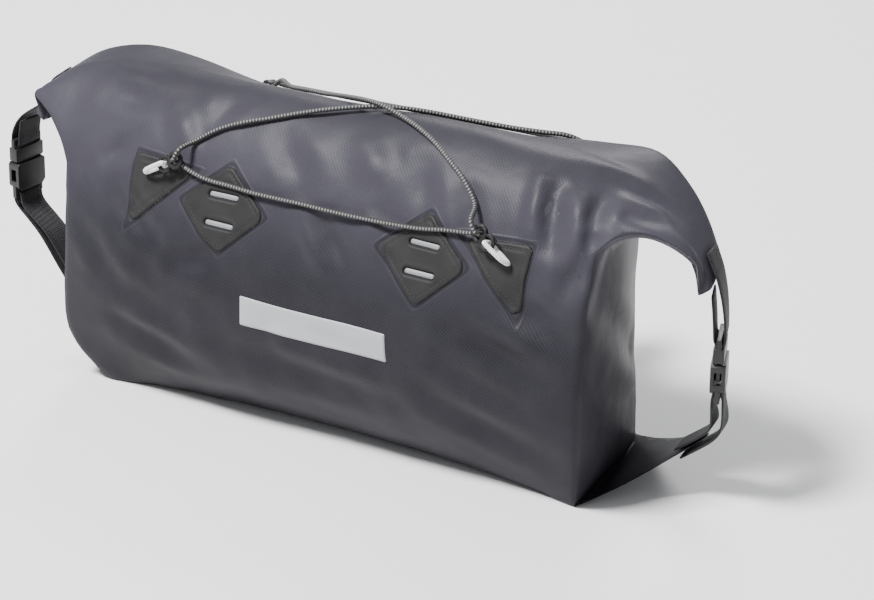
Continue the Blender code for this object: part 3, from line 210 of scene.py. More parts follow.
class BagLooks(bpy.types.PropertyGroup):
    """Sizes and colours of the bag that a user would change."""

    cloth_colour: FloatVectorProperty(
        name="Cloth", description="Colour of the coated cloth",
        default=(0.026, 0.0247, 0.0315), subtype="COLOR", min=0.0, max=1.0)
    patch_colour: FloatVectorProperty(
        name="Patches", description="Colour of the rubbery patches",
        default=(0.019, 0.019, 0.0192), subtype="COLOR", min=0.0, max=1.0)
    reflector_colour: FloatVectorProperty(
        name="Reflectors", description="Colour of the reflective bars and label",
        default=(0.42, 0.425, 0.44), subtype="COLOR", min=0.0, max=1.0)
    loop_colour: FloatVectorProperty(
        name="Loops", description="Colour of the white cord loops",
        default=(0.80, 0.80, 0.78), subtype="COLOR", min=0.0, max=1.0)
    cord_colour: FloatVectorProperty(
        name="Cord", description="Colour of the elastic cord",
        default=(0.020, 0.020, 0.021), subtype="COLOR", min=0.0, max=1.0)
    fleck_colour: FloatVectorProperty(
        name="Flecks", description="Colour of the pale threads in the cord",
        default=(0.20, 0.20, 0.195), subtype="COLOR", min=0.0, max=1.0)
    webbing_colour: FloatVectorProperty(
        name="Webbing", description="Colour of the side webbing",
        default=(0.012, 0.012, 0.0135), subtype="COLOR", min=0.0, max=1.0)
    plastic_colour: FloatVectorProperty(
        name="Plastic", description="Colour of buckles and hooks",
        default=(0.010, 0.010, 0.011), subtype="COLOR", min=0.0, max=1.0)
    floor_colour: FloatVectorProperty(
        name="Floor", description="Colour of the floor",
        default=(0.86, 0.86, 0.86), subtype="COLOR", min=0.0, max=1.0)
    weave_pitch: FloatProperty(
        name="Weave pitch", description="Distance between two threads of the cloth",
        default=0.0012, min=0.0004, max=0.004, unit="LENGTH")
    fold_strength: FloatProperty(
        name="Fold strength", description="Share of the folds' depth that shows",
        default=1.0, min=0.0, max=2.0, subtype="FACTOR")
    ripple: FloatProperty(
        name="Ripple", description="Height of the broad ripples in the cloth",
        default=0.0020, min=0.0, max=0.004, unit="LENGTH")
    cord_radius: FloatProperty(
        name="Cord radius", description="Radius of the elastic cord",
        default=0.0016, min=0.0008, max=0.003, unit="LENGTH")
    stitch_pitch: FloatProperty(
        name="Stitch pitch", description="Distance between two stitches",
        default=0.0028, min=0.0015, max=0.006, unit="LENGTH")
    stitch_size: FloatProperty(
        name="Stitch size", description="Length of one stitch",
        default=0.0019, min=0.0008, max=0.004, unit="LENGTH")
    cloth_levels: IntProperty(
        name="Cloth levels", description="Subdivision levels of the cloth",
        default=2, min=1, max=2)


def looks():
    """The scene's own sizes and colours."""
    return bpy.context.scene.bag_looks


class Sock:
    """A shader socket that can be used in arithmetic."""

    def __init__(self, tree, value):
        self.tree = tree
        self.value = value

    def wrap(self, value):
        """Another socket of the same tree."""
        return Sock(self.tree, value)

    def put(self, socket):
        """Link or set this value on an input."""
        if isinstance(self.value, bpy.types.NodeSocket):
            self.tree.links.new(self.value, socket)
        else:
            socket.default_value = self.value

    def node(self, kind, output=0, settings=None, **inputs):
        """One output of a new node whose inputs are given by name or number."""
        made = self.tree.nodes.new(kind)
        for key, value in (settings or {}).items():
            setattr(made, key, value)
        for key, value in inputs.items():
            name = int(key[1:]) if key[0] == "n" and key[1:].isdigit() else key.replace("_", " ")
            value = value if isinstance(value, Sock) else self.wrap(value)
            value.put(made.inputs[name])
        return self.wrap(made.outputs[output])

    def maths(self, operation, other=0.0, third=0.0, clamp=False):
        """Result of a Math node."""
        return self.node("ShaderNodeMath", settings={"operation": operation, "use_clamp": clamp},
                         n0=self, n1=other, n2=third)

    def __add__(self, other):
        return self.maths("ADD", other)

    def __radd__(self, other):
        return self.wrap(other).maths("ADD", self)

    def __sub__(self, other):
        return self.maths("SUBTRACT", other)

    def __rsub__(self, other):
        return self.wrap(other).maths("SUBTRACT", self)

    def __mul__(self, other):
        return self.maths("MULTIPLY", other)

    def __rmul__(self, other):
        return self.wrap(other).maths("MULTIPLY", self)

    def __truediv__(self, other):
        return self.maths("DIVIDE", other)

    def __neg__(self):
        return self.maths("MULTIPLY", -1.0)

    def step(self, low, high):
        """Smooth rise from 0 to 1 between two values."""
        return self.node("ShaderNodeMapRange", settings={"interpolation_type": "SMOOTHSTEP"},
                         n0=self, n1=low, n2=high)

    def band(self, middle, half):
        """1 in the middle of a narrow band and 0 outside it."""
        return 1.0 - ((self - middle).maths("ABSOLUTE") / half).step(0.3, 1.0)

    def mix(self, first, second):
        """Colour between two colours, with this socket as the factor."""
        made = self.tree.nodes.new("ShaderNodeMix")
        made.data_type = "RGBA"
        self.put(made.inputs[0])
        for value, index in ((first, 6), (second, 7)):
            if isinstance(value, Sock):
                value.put(made.inputs[index])
            else:
                made.inputs[index].default_value = (*value[:3], 1.0)
        return self.wrap(made.outputs[2])


class Look:
    """A material being built."""

    def __init__(self, name, roughness, sheen=0.0, coat=0.0, specular=0.5):
        self.material = bpy.data.materials.new(name)
        self.material.use_nodes = True
        self.tree = self.material.node_tree
        self.shader = self.tree.nodes["Principled BSDF"]
        self.shader.inputs["Roughness"].default_value = roughness
        self.shader.inputs["Sheen Weight"].default_value = sheen
        self.shader.inputs["Sheen Roughness"].default_value = SHEEN_ROUGHNESS
        self.shader.inputs["Coat Weight"].default_value = coat
        self.shader.inputs["Specular IOR Level"].default_value = specular
        self.start = Sock(self.tree, 0.0)

    def place(self):
        """Object coordinates as three sockets."""
        point = self.start.node("ShaderNodeTexCoord", 3)
        apart = [point.node("ShaderNodeSeparateXYZ", k, n0=point) for k in range(3)]
        return point, apart

    def pattern(self):
        """The piece's own pattern coordinates in metres."""
        uv = self.start.node("ShaderNodeUVMap", 0, {"uv_map": "pattern"})
        return [uv.node("ShaderNodeSeparateXYZ", k, n0=uv) for k in range(2)]

    def noise(self, point, scale, detail=3.0):
        """Noise value from 0 to 1."""
        return point.node("ShaderNodeTexNoise", 0, Vector=point, Scale=scale, Detail=detail)

    def finish(self, colour, bump=None, distance=0.0003, strength=1.0, roughness=None):
        """Plug the colour and the bump in and return the material."""
        inputs = self.shader.inputs
        if isinstance(colour, Sock):
            colour.put(inputs["Base Color"])
        else:
            inputs["Base Color"].default_value = (*colour[:3], 1.0)
        if roughness is not None:
            roughness.put(inputs["Roughness"])
        if bump is not None:
            normal = bump.node("ShaderNodeBump", 0, Strength=strength, Distance=distance,
                               Height=bump)
            normal.put(inputs["Normal"])
        return self.material


def shade(colour, share):
    """A colour made lighter or darker."""
    return tuple(min(1.0, part * share) for part in colour[:3])


def outline_distance(x, z, corners):
    """Shader distance outside a convex outline, for both halves of the bag."""
    middle = np.mean(corners, axis=0)
    result = None
    for i, a in enumerate(corners):
        b = corners[(i + 1) % len(corners)]
        normal = np.array((b[1] - a[1], a[0] - b[0]))
        normal = normal / np.linalg.norm(normal)
        if float(normal @ (np.array(a) - middle)) < 0.0:
            normal = -normal
        away = x * float(normal[0]) + z * float(normal[1]) - float(normal @ np.array(a))
        result = away if result is None else result.maths("SMOOTH_MAX", away, CORNER_BLEND)
    return result


def weave(along, across, pitch):
    """Height of a plain weave."""
    turn = TURN / pitch
    over = (along * turn).maths("SINE")
    under = (across * turn).maths("SINE")
    return over * under


def cloth_look():
    """Coated woven cloth with welded outlines round the patches, with painted light and shade on
    its colour.
    """
    size = looks()
    look = Look("coated_cloth", 0.50, specular=0.10)
    point, (x, y, z) = look.place()
    along, across = look.pattern()
    threads = weave(along, across, 2.0 * size.weave_pitch)
    slub = look.noise(point, 900.0, 2.0)
    crumple = 1.0 - ((look.noise(point, 17.0, 4.0) - 0.5) * 5.0).maths("ABSOLUTE").step(0.0, 1.0)
    broad = look.noise(point, 9.0, 4.0)
    fine = look.noise(point, 60.0, 3.0)
    half = x.maths("ABSOLUTE")
    front = y.step(-0.045, -0.055)
    lines = None
    dark = None
    for corners in (DIAMOND, TRIANGLE):
        away = outline_distance(half, z, corners)
        ridge = away.band(0.0042, 0.0009) * front
        groove = away.band(0.0024, 0.0014) * front
        lines = ridge if lines is None else lines + ridge
        dark = groove if dark is None else dark + groove
    # Painted light and shade: the cloth is painted lighter on the upper front, darker on the lower
    # front and darker again on the top crest, as light from above and in front would fall on it.
    painted_upper_light = z.step(0.110, 0.190) * (1.0 - z.step(0.196, 0.226) * 0.6)
    # The tone is partly random tone of the cloth and mostly painted light; it mixes a painted
    # shaded copy and a painted lit copy of the cloth colour.
    tone = (broad * 0.55 + fine * 0.25 + slub * 0.20).step(0.30, 0.72) * 0.3 + painted_upper_light * 0.7
    colour = tone.mix(shade(size.cloth_colour, 0.38), shade(size.cloth_colour, 1.90))
    raised = (threads * 0.5 + 0.5).step(0.15, 0.95) * 0.4
    colour = raised.mix(colour, shade(size.cloth_colour, 1.60))
    # Painted shade: the cloth is darkened in the welded grooves round the patches.
    colour = (dark * 0.55).mix(colour, shade(size.cloth_colour, 0.45))
    # Painted highlight: the welded ridges round the patches are painted lighter.
    colour = (lines * 0.25).mix(colour, shade(size.cloth_colour, 1.5))
    height = threads * 0.22 + slub * 0.4 + fine * 1.6 + crumple * 2.2
    height = height + lines * 1.6 - dark * 1.6
    rough = broad * 0.14 + 0.37
    return look.finish(colour, height, 0.00016, 0.75, rough)


def rubber_look(name="patch_rubber", colour=None, scale=1.0):
    """Matt rubbery sheet with a leathery grain."""
    size = looks()
    colour = size.patch_colour if colour is None else colour
    look = Look(name, 0.58, specular=0.16)
    point, _ = look.place()
    grain = look.noise(point, 1500.0 * scale, 2.0)
    broad = look.noise(point, 70.0 * scale, 3.0)
    tone = (broad * 0.7 + grain * 0.3).step(0.25, 0.8)
    mixed = tone.mix(shade(colour, 0.85), shade(colour, 1.25))
    return look.finish(mixed, grain * 0.4 + broad * 0.8, 0.00012, 0.6, broad * 0.15 + 0.48)


def reflector_look(name="reflective", share=1.0):
    """Pale reflective film with a fine printed grid."""
    size = looks()
    look = Look(name, 0.42, coat=0.15)
    point, (x, _, z) = look.place()
    grid = weave(x, z, 0.0016).step(-0.2, 0.9)
    broad = look.noise(point, 40.0, 3.0)
    tone = (grid * 0.35 + broad * 0.65).step(0.2, 0.8)
    colour = tone.mix(shade(size.reflector_colour, 0.88 * share),
                      shade(size.reflector_colour, 1.08 * share))
    return look.finish(colour, grid * 0.3 + broad, 0.00006, 0.5)


def braid_look(name, colour, fleck, amount, pitch):
    """Braided sheath of a cord; its pattern runs along and round the cord."""
    look = Look(name, 0.68, sheen=0.08)
    along, around = look.pattern()
    left = (along * (TURN / pitch) + around * TURN).maths("SINE")
    right = (along * (TURN / pitch) - around * TURN).maths("SINE")
    strands = left * right
    mask = strands.step(1.0 - amount, 1.0 - 0.45 * amount)
    colour = mask.mix(shade(colour, 1.0), fleck)
    return look.finish(colour, strands, 0.00022, 0.9)


def webbing_look():
    """Woven webbing with cross ribs."""
    size = looks()
    look = Look("webbing", 0.66, sheen=0.04, specular=0.25)
    point, _ = look.place()
    along, across = look.pattern()
    ribs = (across * (TURN / 0.0011)).maths("SINE")
    cords = (along * (TURN / 0.0024)).maths("SINE")
    fuzz = look.noise(point, 700.0, 3.0)
    tone = (ribs * 0.25 + cords * 0.2 + fuzz).step(0.2, 0.9)
    colour = tone.mix(shade(size.webbing_colour, 0.7), shade(size.webbing_colour, 1.7))
    return look.finish(colour, ribs * 0.5 + cords * 0.35 + fuzz, 0.00022, 0.8)


def plastic_look():
    """Moulded plastic with a fine spark finish."""
    size = looks()
    look = Look("moulded_plastic", 0.36, specular=0.35)
    point, _ = look.place()
    spark = look.noise(point, 1800.0, 2.0)
    broad = look.noise(point, 90.0, 3.0)
    colour = broad.mix(shade(size.plastic_colour, 0.85), shade(size.plastic_colour, 1.35))
    return look.finish(colour, spark * 0.6 + broad * 0.6, 0.00005, 0.6, broad * 0.2 + 0.32)


def thread_look():
    """Sewing thread."""
    size = looks()
    look = Look("thread", 0.7, sheen=0.1)
    point, _ = look.place()
    fuzz = look.noise(point, 2500.0, 2.0)
    return look.finish(fuzz.mix(shade(size.patch_colour, 0.5), shade(size.patch_colour, 1.1)),
                       fuzz, 0.0001, 0.6)


MATERIALS = {}


def finish_for(name):
    """The material of that name, built when first asked for."""
    size = looks()
    if name not in MATERIALS:
        makers = {
            "cloth": cloth_look,
            "rubber": rubber_look,
            "foam": lambda: rubber_look("closed_cell_foam", (0.030, 0.030, 0.031), 0.5),
            "bar_rubber": lambda: rubber_look("strap_rubber", (0.026, 0.026, 0.027), 0.7),
            "reflector": lambda: reflector_look("reflective_bars", 0.55),
            "label": lambda: reflector_look("label_film", 0.92),
            "white_cord": lambda: braid_look("white_braid", size.loop_colour,
                                             shade(size.loop_colour, 0.72), 0.9, 0.0030),
            "cord": lambda: braid_look("black_braid", size.cord_colour, size.fleck_colour[:],
                                       0.50, 0.0044),
            "webbing": webbing_look,
            "plastic": plastic_look,
            "thread": thread_look,
        }
        MATERIALS[name] = makers[name]()
    return MATERIALS[name]


def unit(vector):
    """Vector of length one."""
    vector = np.asarray(vector, dtype=float)
    return vector / np.linalg.norm(vector)


def show(name, mesh, look, replaced=()):
    """Put a finished mesh into the scene as a piece of the bag."""
    item = bpy.data.objects.new(name, mesh)
    bpy.context.scene.collection.objects.link(item)
    mesh.materials.clear()
    mesh.materials.append(finish_for(look))
    for face in mesh.polygons:
        face.use_smooth = True
    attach(item, "root")
    if replaced:
        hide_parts(*replaced)
    return item


def mesh_from(name, points, faces):
    """New mesh of the given points and faces."""
    mesh = bpy.data.meshes.new(name)
    mesh.from_pydata([tuple(map(float, p)) for p in points], [], faces)
    mesh.update()
    return mesh


def add_pattern(mesh):
    """Pattern coordinates in metres, laid flat along the axis that each face turns to."""
    layer = mesh.uv_layers.new(name="pattern")
    for face in mesh.polygons:
        normal = np.abs(face.normal)
        axes = (1, 2) if normal[0] > max(normal[1], normal[2]) else (0, 2)
        if normal[2] > max(normal[0], normal[1]):
            axes = (0, 1)
        for loop in face.loop_indices:
            point = mesh.vertices[mesh.loops[loop].vertex_index].co
            layer.data[loop].uv = (point[axes[0]], point[axes[1]])


def solid_of(node):
    """Clean copy of a CAD node's mesh."""
    work = bmesh.new()
    work.from_mesh(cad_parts[node].data)
    bmesh.ops.remove_doubles(work, verts=work.verts[:], dist=0.00002)
    bmesh.ops.recalc_face_normals(work, faces=work.faces[:])
    return work


def baked(item, name):
    """Plain mesh of an object with its modifiers applied; the object is removed."""
    graph = bpy.context.evaluated_depsgraph_get()
    mesh = bpy.data.meshes.new_from_object(item.evaluated_get(graph), depsgraph=graph)
    mesh.name = name
    bpy.data.objects.remove(item)
    return mesh


def softened(work, name, levels, crease_from=35.0, crease_to=85.0, most=0.9):
    """Subdivided mesh of a solid whose sharp edges stay nearly sharp."""
    layer = work.edges.layers.float.new("crease_edge")
    for edge in work.edges:
        turn = math.degrees(edge.calc_face_angle(0.0))
        share = (turn - crease_from) / (crease_to - crease_from)
        edge[layer] = most * min(1.0, max(0.0, share))
    mesh = bpy.data.meshes.new(name)
    work.to_mesh(mesh)
    work.free()
    item = bpy.data.objects.new(name, mesh)
    bpy.context.scene.collection.objects.link(item)
    change = item.modifiers.new("Subdivision", "SUBSURF")
    change.levels = levels
    change.render_levels = levels
    bpy.context.view_layer.update()
    return baked(item, name)


def fold_shift(points):
    """How far the folds and ripples move each point of the cloth, in metres."""
    size = looks()
    core = points.copy()
    core[:, 0] = np.clip(core[:, 0], -0.120, 0.120)
    core[:, 1] = 0.0
    core[:, 2] = np.clip(core[:, 2], 0.080, 0.140)
    out = points - core
    out = out / np.maximum(np.linalg.norm(out, axis=1), 1e-6)[:, None]
    shift = np.zeros(len(points))
    for first, last, width, depth in FOLDS:
        a = np.array(first) * MM
        b = np.array(last) * MM
        along = np.clip(((points - a) @ (b - a)) / float((b - a) @ (b - a)), 0.0, 1.0)
        far = np.linalg.norm(points - (a + along[:, None] * (b - a)), axis=1) / (width * MM)
        fade = 0.35 + 0.65 * np.sin(math.pi * np.clip(along, 0.08, 0.92))
        shift -= depth * MM * fade * np.exp(-far ** 2)
        shift += 0.35 * depth * MM * fade * np.exp(-(far - 1.9) ** 2 * 1.6)
    ripples = np.array([noise.noise(Vector(p * 13.0)) + 0.55 * noise.noise(Vector(p * 31.0))
                        for p in points])
    shift = size.fold_strength * np.clip(shift, -FOLD_LIMIT, FOLD_LIMIT) + size.ripple * ripples
    calm = np.clip(points[:, 2] / 0.030, 0.0, 1.0)
    for centre, radius in CALM:
        far = np.linalg.norm(points - np.array(centre) * MM, axis=1) / (radius * MM)
        calm *= 1.0 - np.exp(-far ** 4)
    start = 0.188 + 0.030 * np.clip((points[:, 2] - 0.120) / 0.040, 0.0, 1.0)
    reach = 1.0 - np.clip((np.abs(points[:, 0]) - start) / 0.030, 0.0, 1.0)
    return out * (shift * calm * reach)[:, None]


class Surface:
    """The finished cloth, to lay other pieces on."""

    def __init__(self, mesh):
        points = [v.co[:] for v in mesh.vertices]
        self.tree = BVHTree.FromPolygons(points, [tuple(f.vertices) for f in mesh.polygons])

    def front(self, x, z):
        """Point of the front panel and its outward normal."""
        place, normal, _, _ = self.tree.ray_cast(Vector((x, -0.5, z)), Vector((0.0, 1.0, 0.0)))
        if place is None:
            raise RuntimeError("a patch reaches past the front panel")
        normal = np.array(normal)
        return np.array(place), normal if normal[1] < 0.0 else -normal

    def clear(self, point, distance):
        """Point moved outwards until it is a distance away from the cloth."""
        for _ in range(3):
            near, normal, _, gap = self.tree.find_nearest(Vector(point))
            away = np.array(point) - np.array(near)
            buried = float(away @ np.array(normal)) < 0.0
            if gap >= distance and not buried:
                break
            push = np.array(normal) if buried or gap < 1e-6 else away / gap
            point = np.array(near) + push * (distance + 1e-5)
        return np.array(point)


SURFACE = []


def surface():
    """The cloth surface; the cloth is made first."""
    if not SURFACE:
        raise RuntimeError("make the cloth first")
    return SURFACE[0]


def rounded(corners, radius, steps=5):
    """Outline with rounded corners."""
    points = []
    count = len(corners)
    for i in range(count):
        before, here, after = (np.array(corners[(i + k) % count], float) for k in (-1, 0, 1))
        first = unit(before - here)
        second = unit(after - here)
        half = 0.5 * math.acos(float(np.clip(first @ second, -1.0, 1.0)))
        reach = radius / math.tan(half)
        centre = here + unit(first + second) * radius / math.sin(half)
        start = here + first * reach - centre
        finish = here + second * reach - centre
        for k in range(steps + 1):
            mixed = start * (1.0 - k / steps) + finish * (k / steps)
            points.append(centre + unit(mixed) * radius)
    return points


def slot_shape(middle, length, width, steps=8):
    """Outline of a slot with round ends."""
    points = []
    for end in (1, -1):
        for k in range(steps + 1):
            angle = math.radians(-90.0 + 180.0 * k / steps)
            points.append(np.array((middle[0] + end * (0.5 * (length - width)
                                                       + 0.5 * width * math.cos(angle)),
                                    middle[1] + end * 0.5 * width * math.sin(angle))))
    return points


def divided(outline, spacing):
    """Outline with long edges divided."""
    result = []
    for i, a in enumerate(outline):
        b = outline[(i + 1) % len(outline)]
        parts = max(1, int(math.ceil(np.linalg.norm(b - a) / spacing)))
        result += [a + (b - a) * k / parts for k in range(parts)]
    return result


def edge_distance(points, outline):
    """Distance of flat points from an outline."""
    best = np.full(len(points), 1e9)
    for i, b in enumerate(outline):
        a = outline[i - 1]
        along = np.clip(((points - a) @ (b - a)) / max(float((b - a) @ (b - a)), 1e-12), 0.0, 1.0)
        best = np.minimum(best, np.linalg.norm(points - (a + along[:, None] * (b - a)), axis=1))
    return best


def within(points, outline):
    """Which flat points lie inside an outline."""
    found = np.zeros(len(points), dtype=bool)
    for i, a in enumerate(outline):
        b = outline[i - 1]
        level = (a[1] > points[:, 1]) != (b[1] > points[:, 1])
        rise = b[1] - a[1] if abs(b[1] - a[1]) > 1e-12 else 1e-12
        found ^= level & (points[:, 0] < (b[0] - a[0]) * (points[:, 1] - a[1]) / rise + a[0])
    return found


def height_of(distance, profile):
    """Height of a raised profile at a distance inside its edge."""
    return np.interp(distance, [row[0] for row in profile], [row[1] for row in profile])


def plate(name, outline, holes, profile, hole_profile, spacing, look, replaced):
    """Sheet laid on the front panel, with a raised profile along its edges and a skirt."""
    skin = surface()
    outline = divided([np.array(p) for p in outline], spacing)
    holes = [divided([np.array(p) for p in hole], spacing) for hole in holes]
    low, high = np.min(outline, axis=0), np.max(outline, axis=0)
    grid = np.array([(x, z) for x in np.arange(low[0], high[0], spacing)
                     for z in np.arange(low[1], high[1], spacing)])
    keep = within(grid, outline) & (edge_distance(grid, outline) > 0.4 * spacing)
    for hole in holes:
        keep &= ~within(grid, hole) & (edge_distance(grid, hole) > 0.4 * spacing)
    points = []
    edges = []
    for loop in [outline] + holes:
        first = len(points)
        points += [Vector(p) for p in loop]
        edges += [(first + k, first + (k + 1) % len(loop)) for k in range(len(loop))]
    points += [Vector(p) for p in grid[keep]]
    made, _, faces, *_ = delaunay_2d_cdt(points, edges, [], 0, 1e-7)
    made = np.array([tuple(p) for p in made])
    centres = np.array([made[list(face)].mean(axis=0) for face in faces])
    solid = within(centres, outline)
    for hole in holes:
        solid &= ~within(centres, hole)
    faces = [tuple(face) for face, is_in in zip(faces, solid) if is_in]
    rise = height_of(edge_distance(made, outline), profile)
    for hole in holes:
        near = edge_distance(made, hole)
        ring = height_of(near, hole_profile)
        rise = np.where(near < hole_profile[-1][0], ring, rise)
    feet = [skin.front(*p) for p in made]
    normal = unit(np.mean([n for _, n in feet], axis=0))
    top = [foot + normal * h for (foot, _), h in zip(feet, rise)]
    used = {}
    for face in faces:
        for k in range(3):
            edge = (face[k], face[(k + 1) % 3])
            used[edge] = True
    rim = [edge for edge in used if (edge[1], edge[0]) not in used]
    low_place = {}
    for a, b in rim:
        for i in (a, b):
            if i not in low_place:
                low_place[i] = len(top)
                top.append(feet[i][0] - normal * SKIRT)
    faces += [(b, a, low_place[a], low_place[b]) for a, b in rim]
    work = bmesh.new()
    for p in top:
        work.verts.new(tuple(map(float, p)))
    work.verts.ensure_lookup_table()
    for face in faces:
        work.faces.new([work.verts[i] for i in face])
    bmesh.ops.delete(work, geom=[v for v in work.verts if not v.link_faces], context="VERTS")
    bmesh.ops.recalc_face_normals(work, faces=work.faces[:])
    flat = max(work.faces, key=lambda f: abs(f.normal @ Vector(normal)))
    if flat.normal @ Vector(normal) < 0.0:
        bmesh.ops.reverse_faces(work, faces=work.faces[:])
    mesh = bpy.data.meshes.new(name)
    work.to_mesh(mesh)
    work.free()
    return show(name, mesh, look, replaced)


def repeat_tree():
    """Node tree that sets one small solid at equal steps along a path."""
    tree = bpy.data.node_groups.new("repeat_along_path", "GeometryNodeTree")
    face = tree.interface
    face.new_socket("Path", in_out="INPUT", socket_type="NodeSocketGeometry")
    face.new_socket("Step", in_out="INPUT", socket_type="NodeSocketFloat")
    face.new_socket("Length", in_out="INPUT", socket_type="NodeSocketFloat")
    face.new_socket("Thickness", in_out="INPUT", socket_type="NodeSocketFloat")
    face.new_socket("Look", in_out="INPUT", socket_type="NodeSocketMaterial")
    face.new_socket("Geometry", in_out="OUTPUT", socket_type="NodeSocketGeometry")
    node = tree.nodes.new
    link = tree.links.new
    start = node("NodeGroupInput")
    end = node("NodeGroupOutput")
    even = node("GeometryNodeResampleCurve")
    even.mode = "LENGTH"
    link(start.outputs["Path"], even.inputs["Curve"])
    link(start.outputs["Step"], even.inputs["Length"])
    ball = node("GeometryNodeMeshIcoSphere")
    ball.inputs["Subdivisions"].default_value = 2
    ball.inputs["Radius"].default_value = 0.5
    size = node("ShaderNodeCombineXYZ")
    link(start.outputs["Thickness"], size.inputs[0])
    link(start.outputs["Thickness"], size.inputs[1])
    link(start.outputs["Length"], size.inputs[2])
    tangent = node("GeometryNodeInputTangent")
    turn = node("FunctionNodeAlignEulerToVector")
    turn.axis = "Z"
    link(tangent.outputs[0], turn.inputs["Vector"])
    each = node("GeometryNodeInstanceOnPoints")
    link(even.outputs[0], each.inputs["Points"])
    link(ball.outputs["Mesh"], each.inputs["Instance"])
    link(turn.outputs[0], each.inputs["Rotation"])
    link(size.outputs[0], each.inputs["Scale"])
    real = node("GeometryNodeRealizeInstances")
    paint = node("GeometryNodeSetMaterial")
    link(each.outputs[0], real.inputs[0])
    link(real.outputs[0], paint.inputs["Geometry"])
    link(start.outputs["Look"], paint.inputs["Material"])
    link(paint.outputs[0], end.inputs[0])
    return tree


def stitched(name, paths):
    """Stitches along one or more paths, as one plain piece."""
    size = looks()
    tree = bpy.data.node_groups.get("repeat_along_path") or repeat_tree()
    curve = bpy.data.curves.new(name + "_path", "CURVE")
    curve.dimensions = "3D"
    for points, closed in paths:
        spline = curve.splines.new("POLY")
        spline.points.add(len(points) - 1)
        for target, point in zip(spline.points, points):
            target.co = (*map(float, point), 1.0)
        spline.use_cyclic_u = closed
    item = bpy.data.objects.new(name + "_path", curve)
    bpy.context.scene.collection.objects.link(item)
    change = item.modifiers.new("Repeat", "NODES")
    change.node_group = tree
    values = {"Step": size.stitch_pitch, "Length": size.stitch_size,
              "Thickness": 0.30 * size.stitch_size, "Look": finish_for("thread")}
    for socket in tree.interface.items_tree:
        if socket.in_out == "INPUT" and socket.name in values:
            change[socket.identifier] = values[socket.name]
    bpy.context.view_layer.update()
    mesh = baked(item, name)
    return show(name, mesh, "thread")


def on_front(points, lift):
    """Flat points laid on the front panel at a height above the cloth."""
    skin = surface()
    result = []
    for x, z in points:
        foot, normal = skin.front(x, z)
        result.append(foot + normal * lift)
    return result


def shrunk(corners, distance):
    """Convex outline moved inwards."""
    count = len(corners)
    middle = np.mean(corners, axis=0)
    lines = []
    for i in range(count):
        a, b = np.array(corners[i], float), np.array(corners[(i + 1) % count], float)
        normal = unit((b[1] - a[1], a[0] - b[0]))
        if float(normal @ (middle - a)) < 0.0:
            normal = -normal
        lines.append((a + normal * distance, b - a))
    result = []
    for i in range(count):
        (p, r), (q, s) = lines[i - 1], lines[i]
        cross = r[0] * s[1] - r[1] * s[0]
        share = ((q - p)[0] * s[1] - (q - p)[1] * s[0]) / cross
        result.append(p + r * share)
    return result


def flipped(corners, side):
    """Outline on one half of the bag."""
    return [np.array((side * x, z)) for x, z in corners]


def smooth_loop(points, closed, steps):
    """Finer path through the same points."""
    points = [np.array(p, float) for p in points]
    count = len(points)
    result = []
    for i in range(count if closed else count - 1):
        quad = []
        for k in (-1, 0, 1, 2):
            j = (i + k) % count if closed else min(max(i + k, 0), count - 1)
            quad.append(points[j])
        a, b, c, d = quad
        for k in range(steps):
            t = k / steps
            result.append(0.5 * (2.0 * b + (c - a) * t + (2 * a - 5 * b + 4 * c - d) * t * t
                                 + (3 * b - a - 3 * c + d) * t ** 3))
    if not closed:
        result.append(points[-1])
    return result


def tube_mesh(name, path, radius, closed, sides=12):
    """Round cord along a path, with pattern coordinates along and round it."""
    path = np.array(path)
    count = len(path)
    if closed:
        tangents = np.roll(path, -1, axis=0) - np.roll(path, 1, axis=0)
    else:
        tangents = np.gradient(path, axis=0)
    tangents /= np.linalg.norm(tangents, axis=1)[:, None]
    side = unit(np.cross(tangents[0], (0.3, 0.5, 0.8)))
    frames = []
    for tangent in tangents:
        side = unit(side - tangent * float(side @ tangent))
        frames.append((side, np.cross(tangent, side)))
    twist = 0.0
    if closed:
        last = unit(frames[-1][0] - tangents[0] * float(frames[-1][0] @ tangents[0]))
        twist = math.atan2(float(last @ frames[0][1]), float(last @ frames[0][0]))
    lengths = np.concatenate([[0.0], np.cumsum(np.linalg.norm(np.diff(path, axis=0), axis=1))])
    points = []
    for i, (a, b) in enumerate(frames):
        for k in range(sides):
            angle = TURN * k / sides - twist * i / count
            points.append(path[i] + radius * (a * math.cos(angle) + b * math.sin(angle)))
    faces = []
    coordinates = []
    for i in range(count if closed else count - 1):
        j = (i + 1) % count
        far = lengths[i + 1] if i + 1 < count else lengths[-1] + np.linalg.norm(path[0] - path[-1])
        for k in range(sides):
            m = (k + 1) % sides
            faces.append((i * sides + k, i * sides + m, j * sides + m, j * sides + k))
            u = (k / sides, (k + 1) / sides)
            coordinates += [(lengths[i], u[0]), (lengths[i], u[1]), (far, u[1]), (far, u[0])]
    if not closed:
        for ring, order in ((0, -1), (count - 1, 1)):
            faces.append(tuple(ring * sides + k for k in range(sides))[::order])
            coordinates += [(lengths[ring], k / sides) for k in range(sides)][::order]
    mesh = mesh_from(name, points, faces)
    layer = mesh.uv_layers.new(name="pattern")
    for data, pair in zip(layer.data, coordinates):
        data.uv = pair
    return mesh


def bevelled(work, name, width, segments=3):
    """Mesh of a solid with rounded edges."""
    mesh = bpy.data.meshes.new(name)
    work.to_mesh(mesh)
    work.free()
    item = bpy.data.objects.new(name, mesh)
    bpy.context.scene.collection.objects.link(item)
    change = item.modifiers.new("Bevel", "BEVEL")
    change.width = width
    change.segments = segments
    change.limit_method = "ANGLE"
    change.angle_limit = math.radians(30.0)
    bpy.context.view_layer.update()
    return baked(item, name)


def swell(mesh, distance):
    """Move every point of a mesh outwards."""
    moves = [vertex.normal.copy() * distance for vertex in mesh.vertices]
    for vertex, move in zip(mesh.vertices, moves):
        vertex.co += move


def flat_joined(work, angle=1.0):
    """Join the triangles of each flat face of a solid."""
    bmesh.ops.dissolve_limit(work, angle_limit=math.radians(angle), verts=work.verts[:],
                             edges=work.edges[:])
    return work


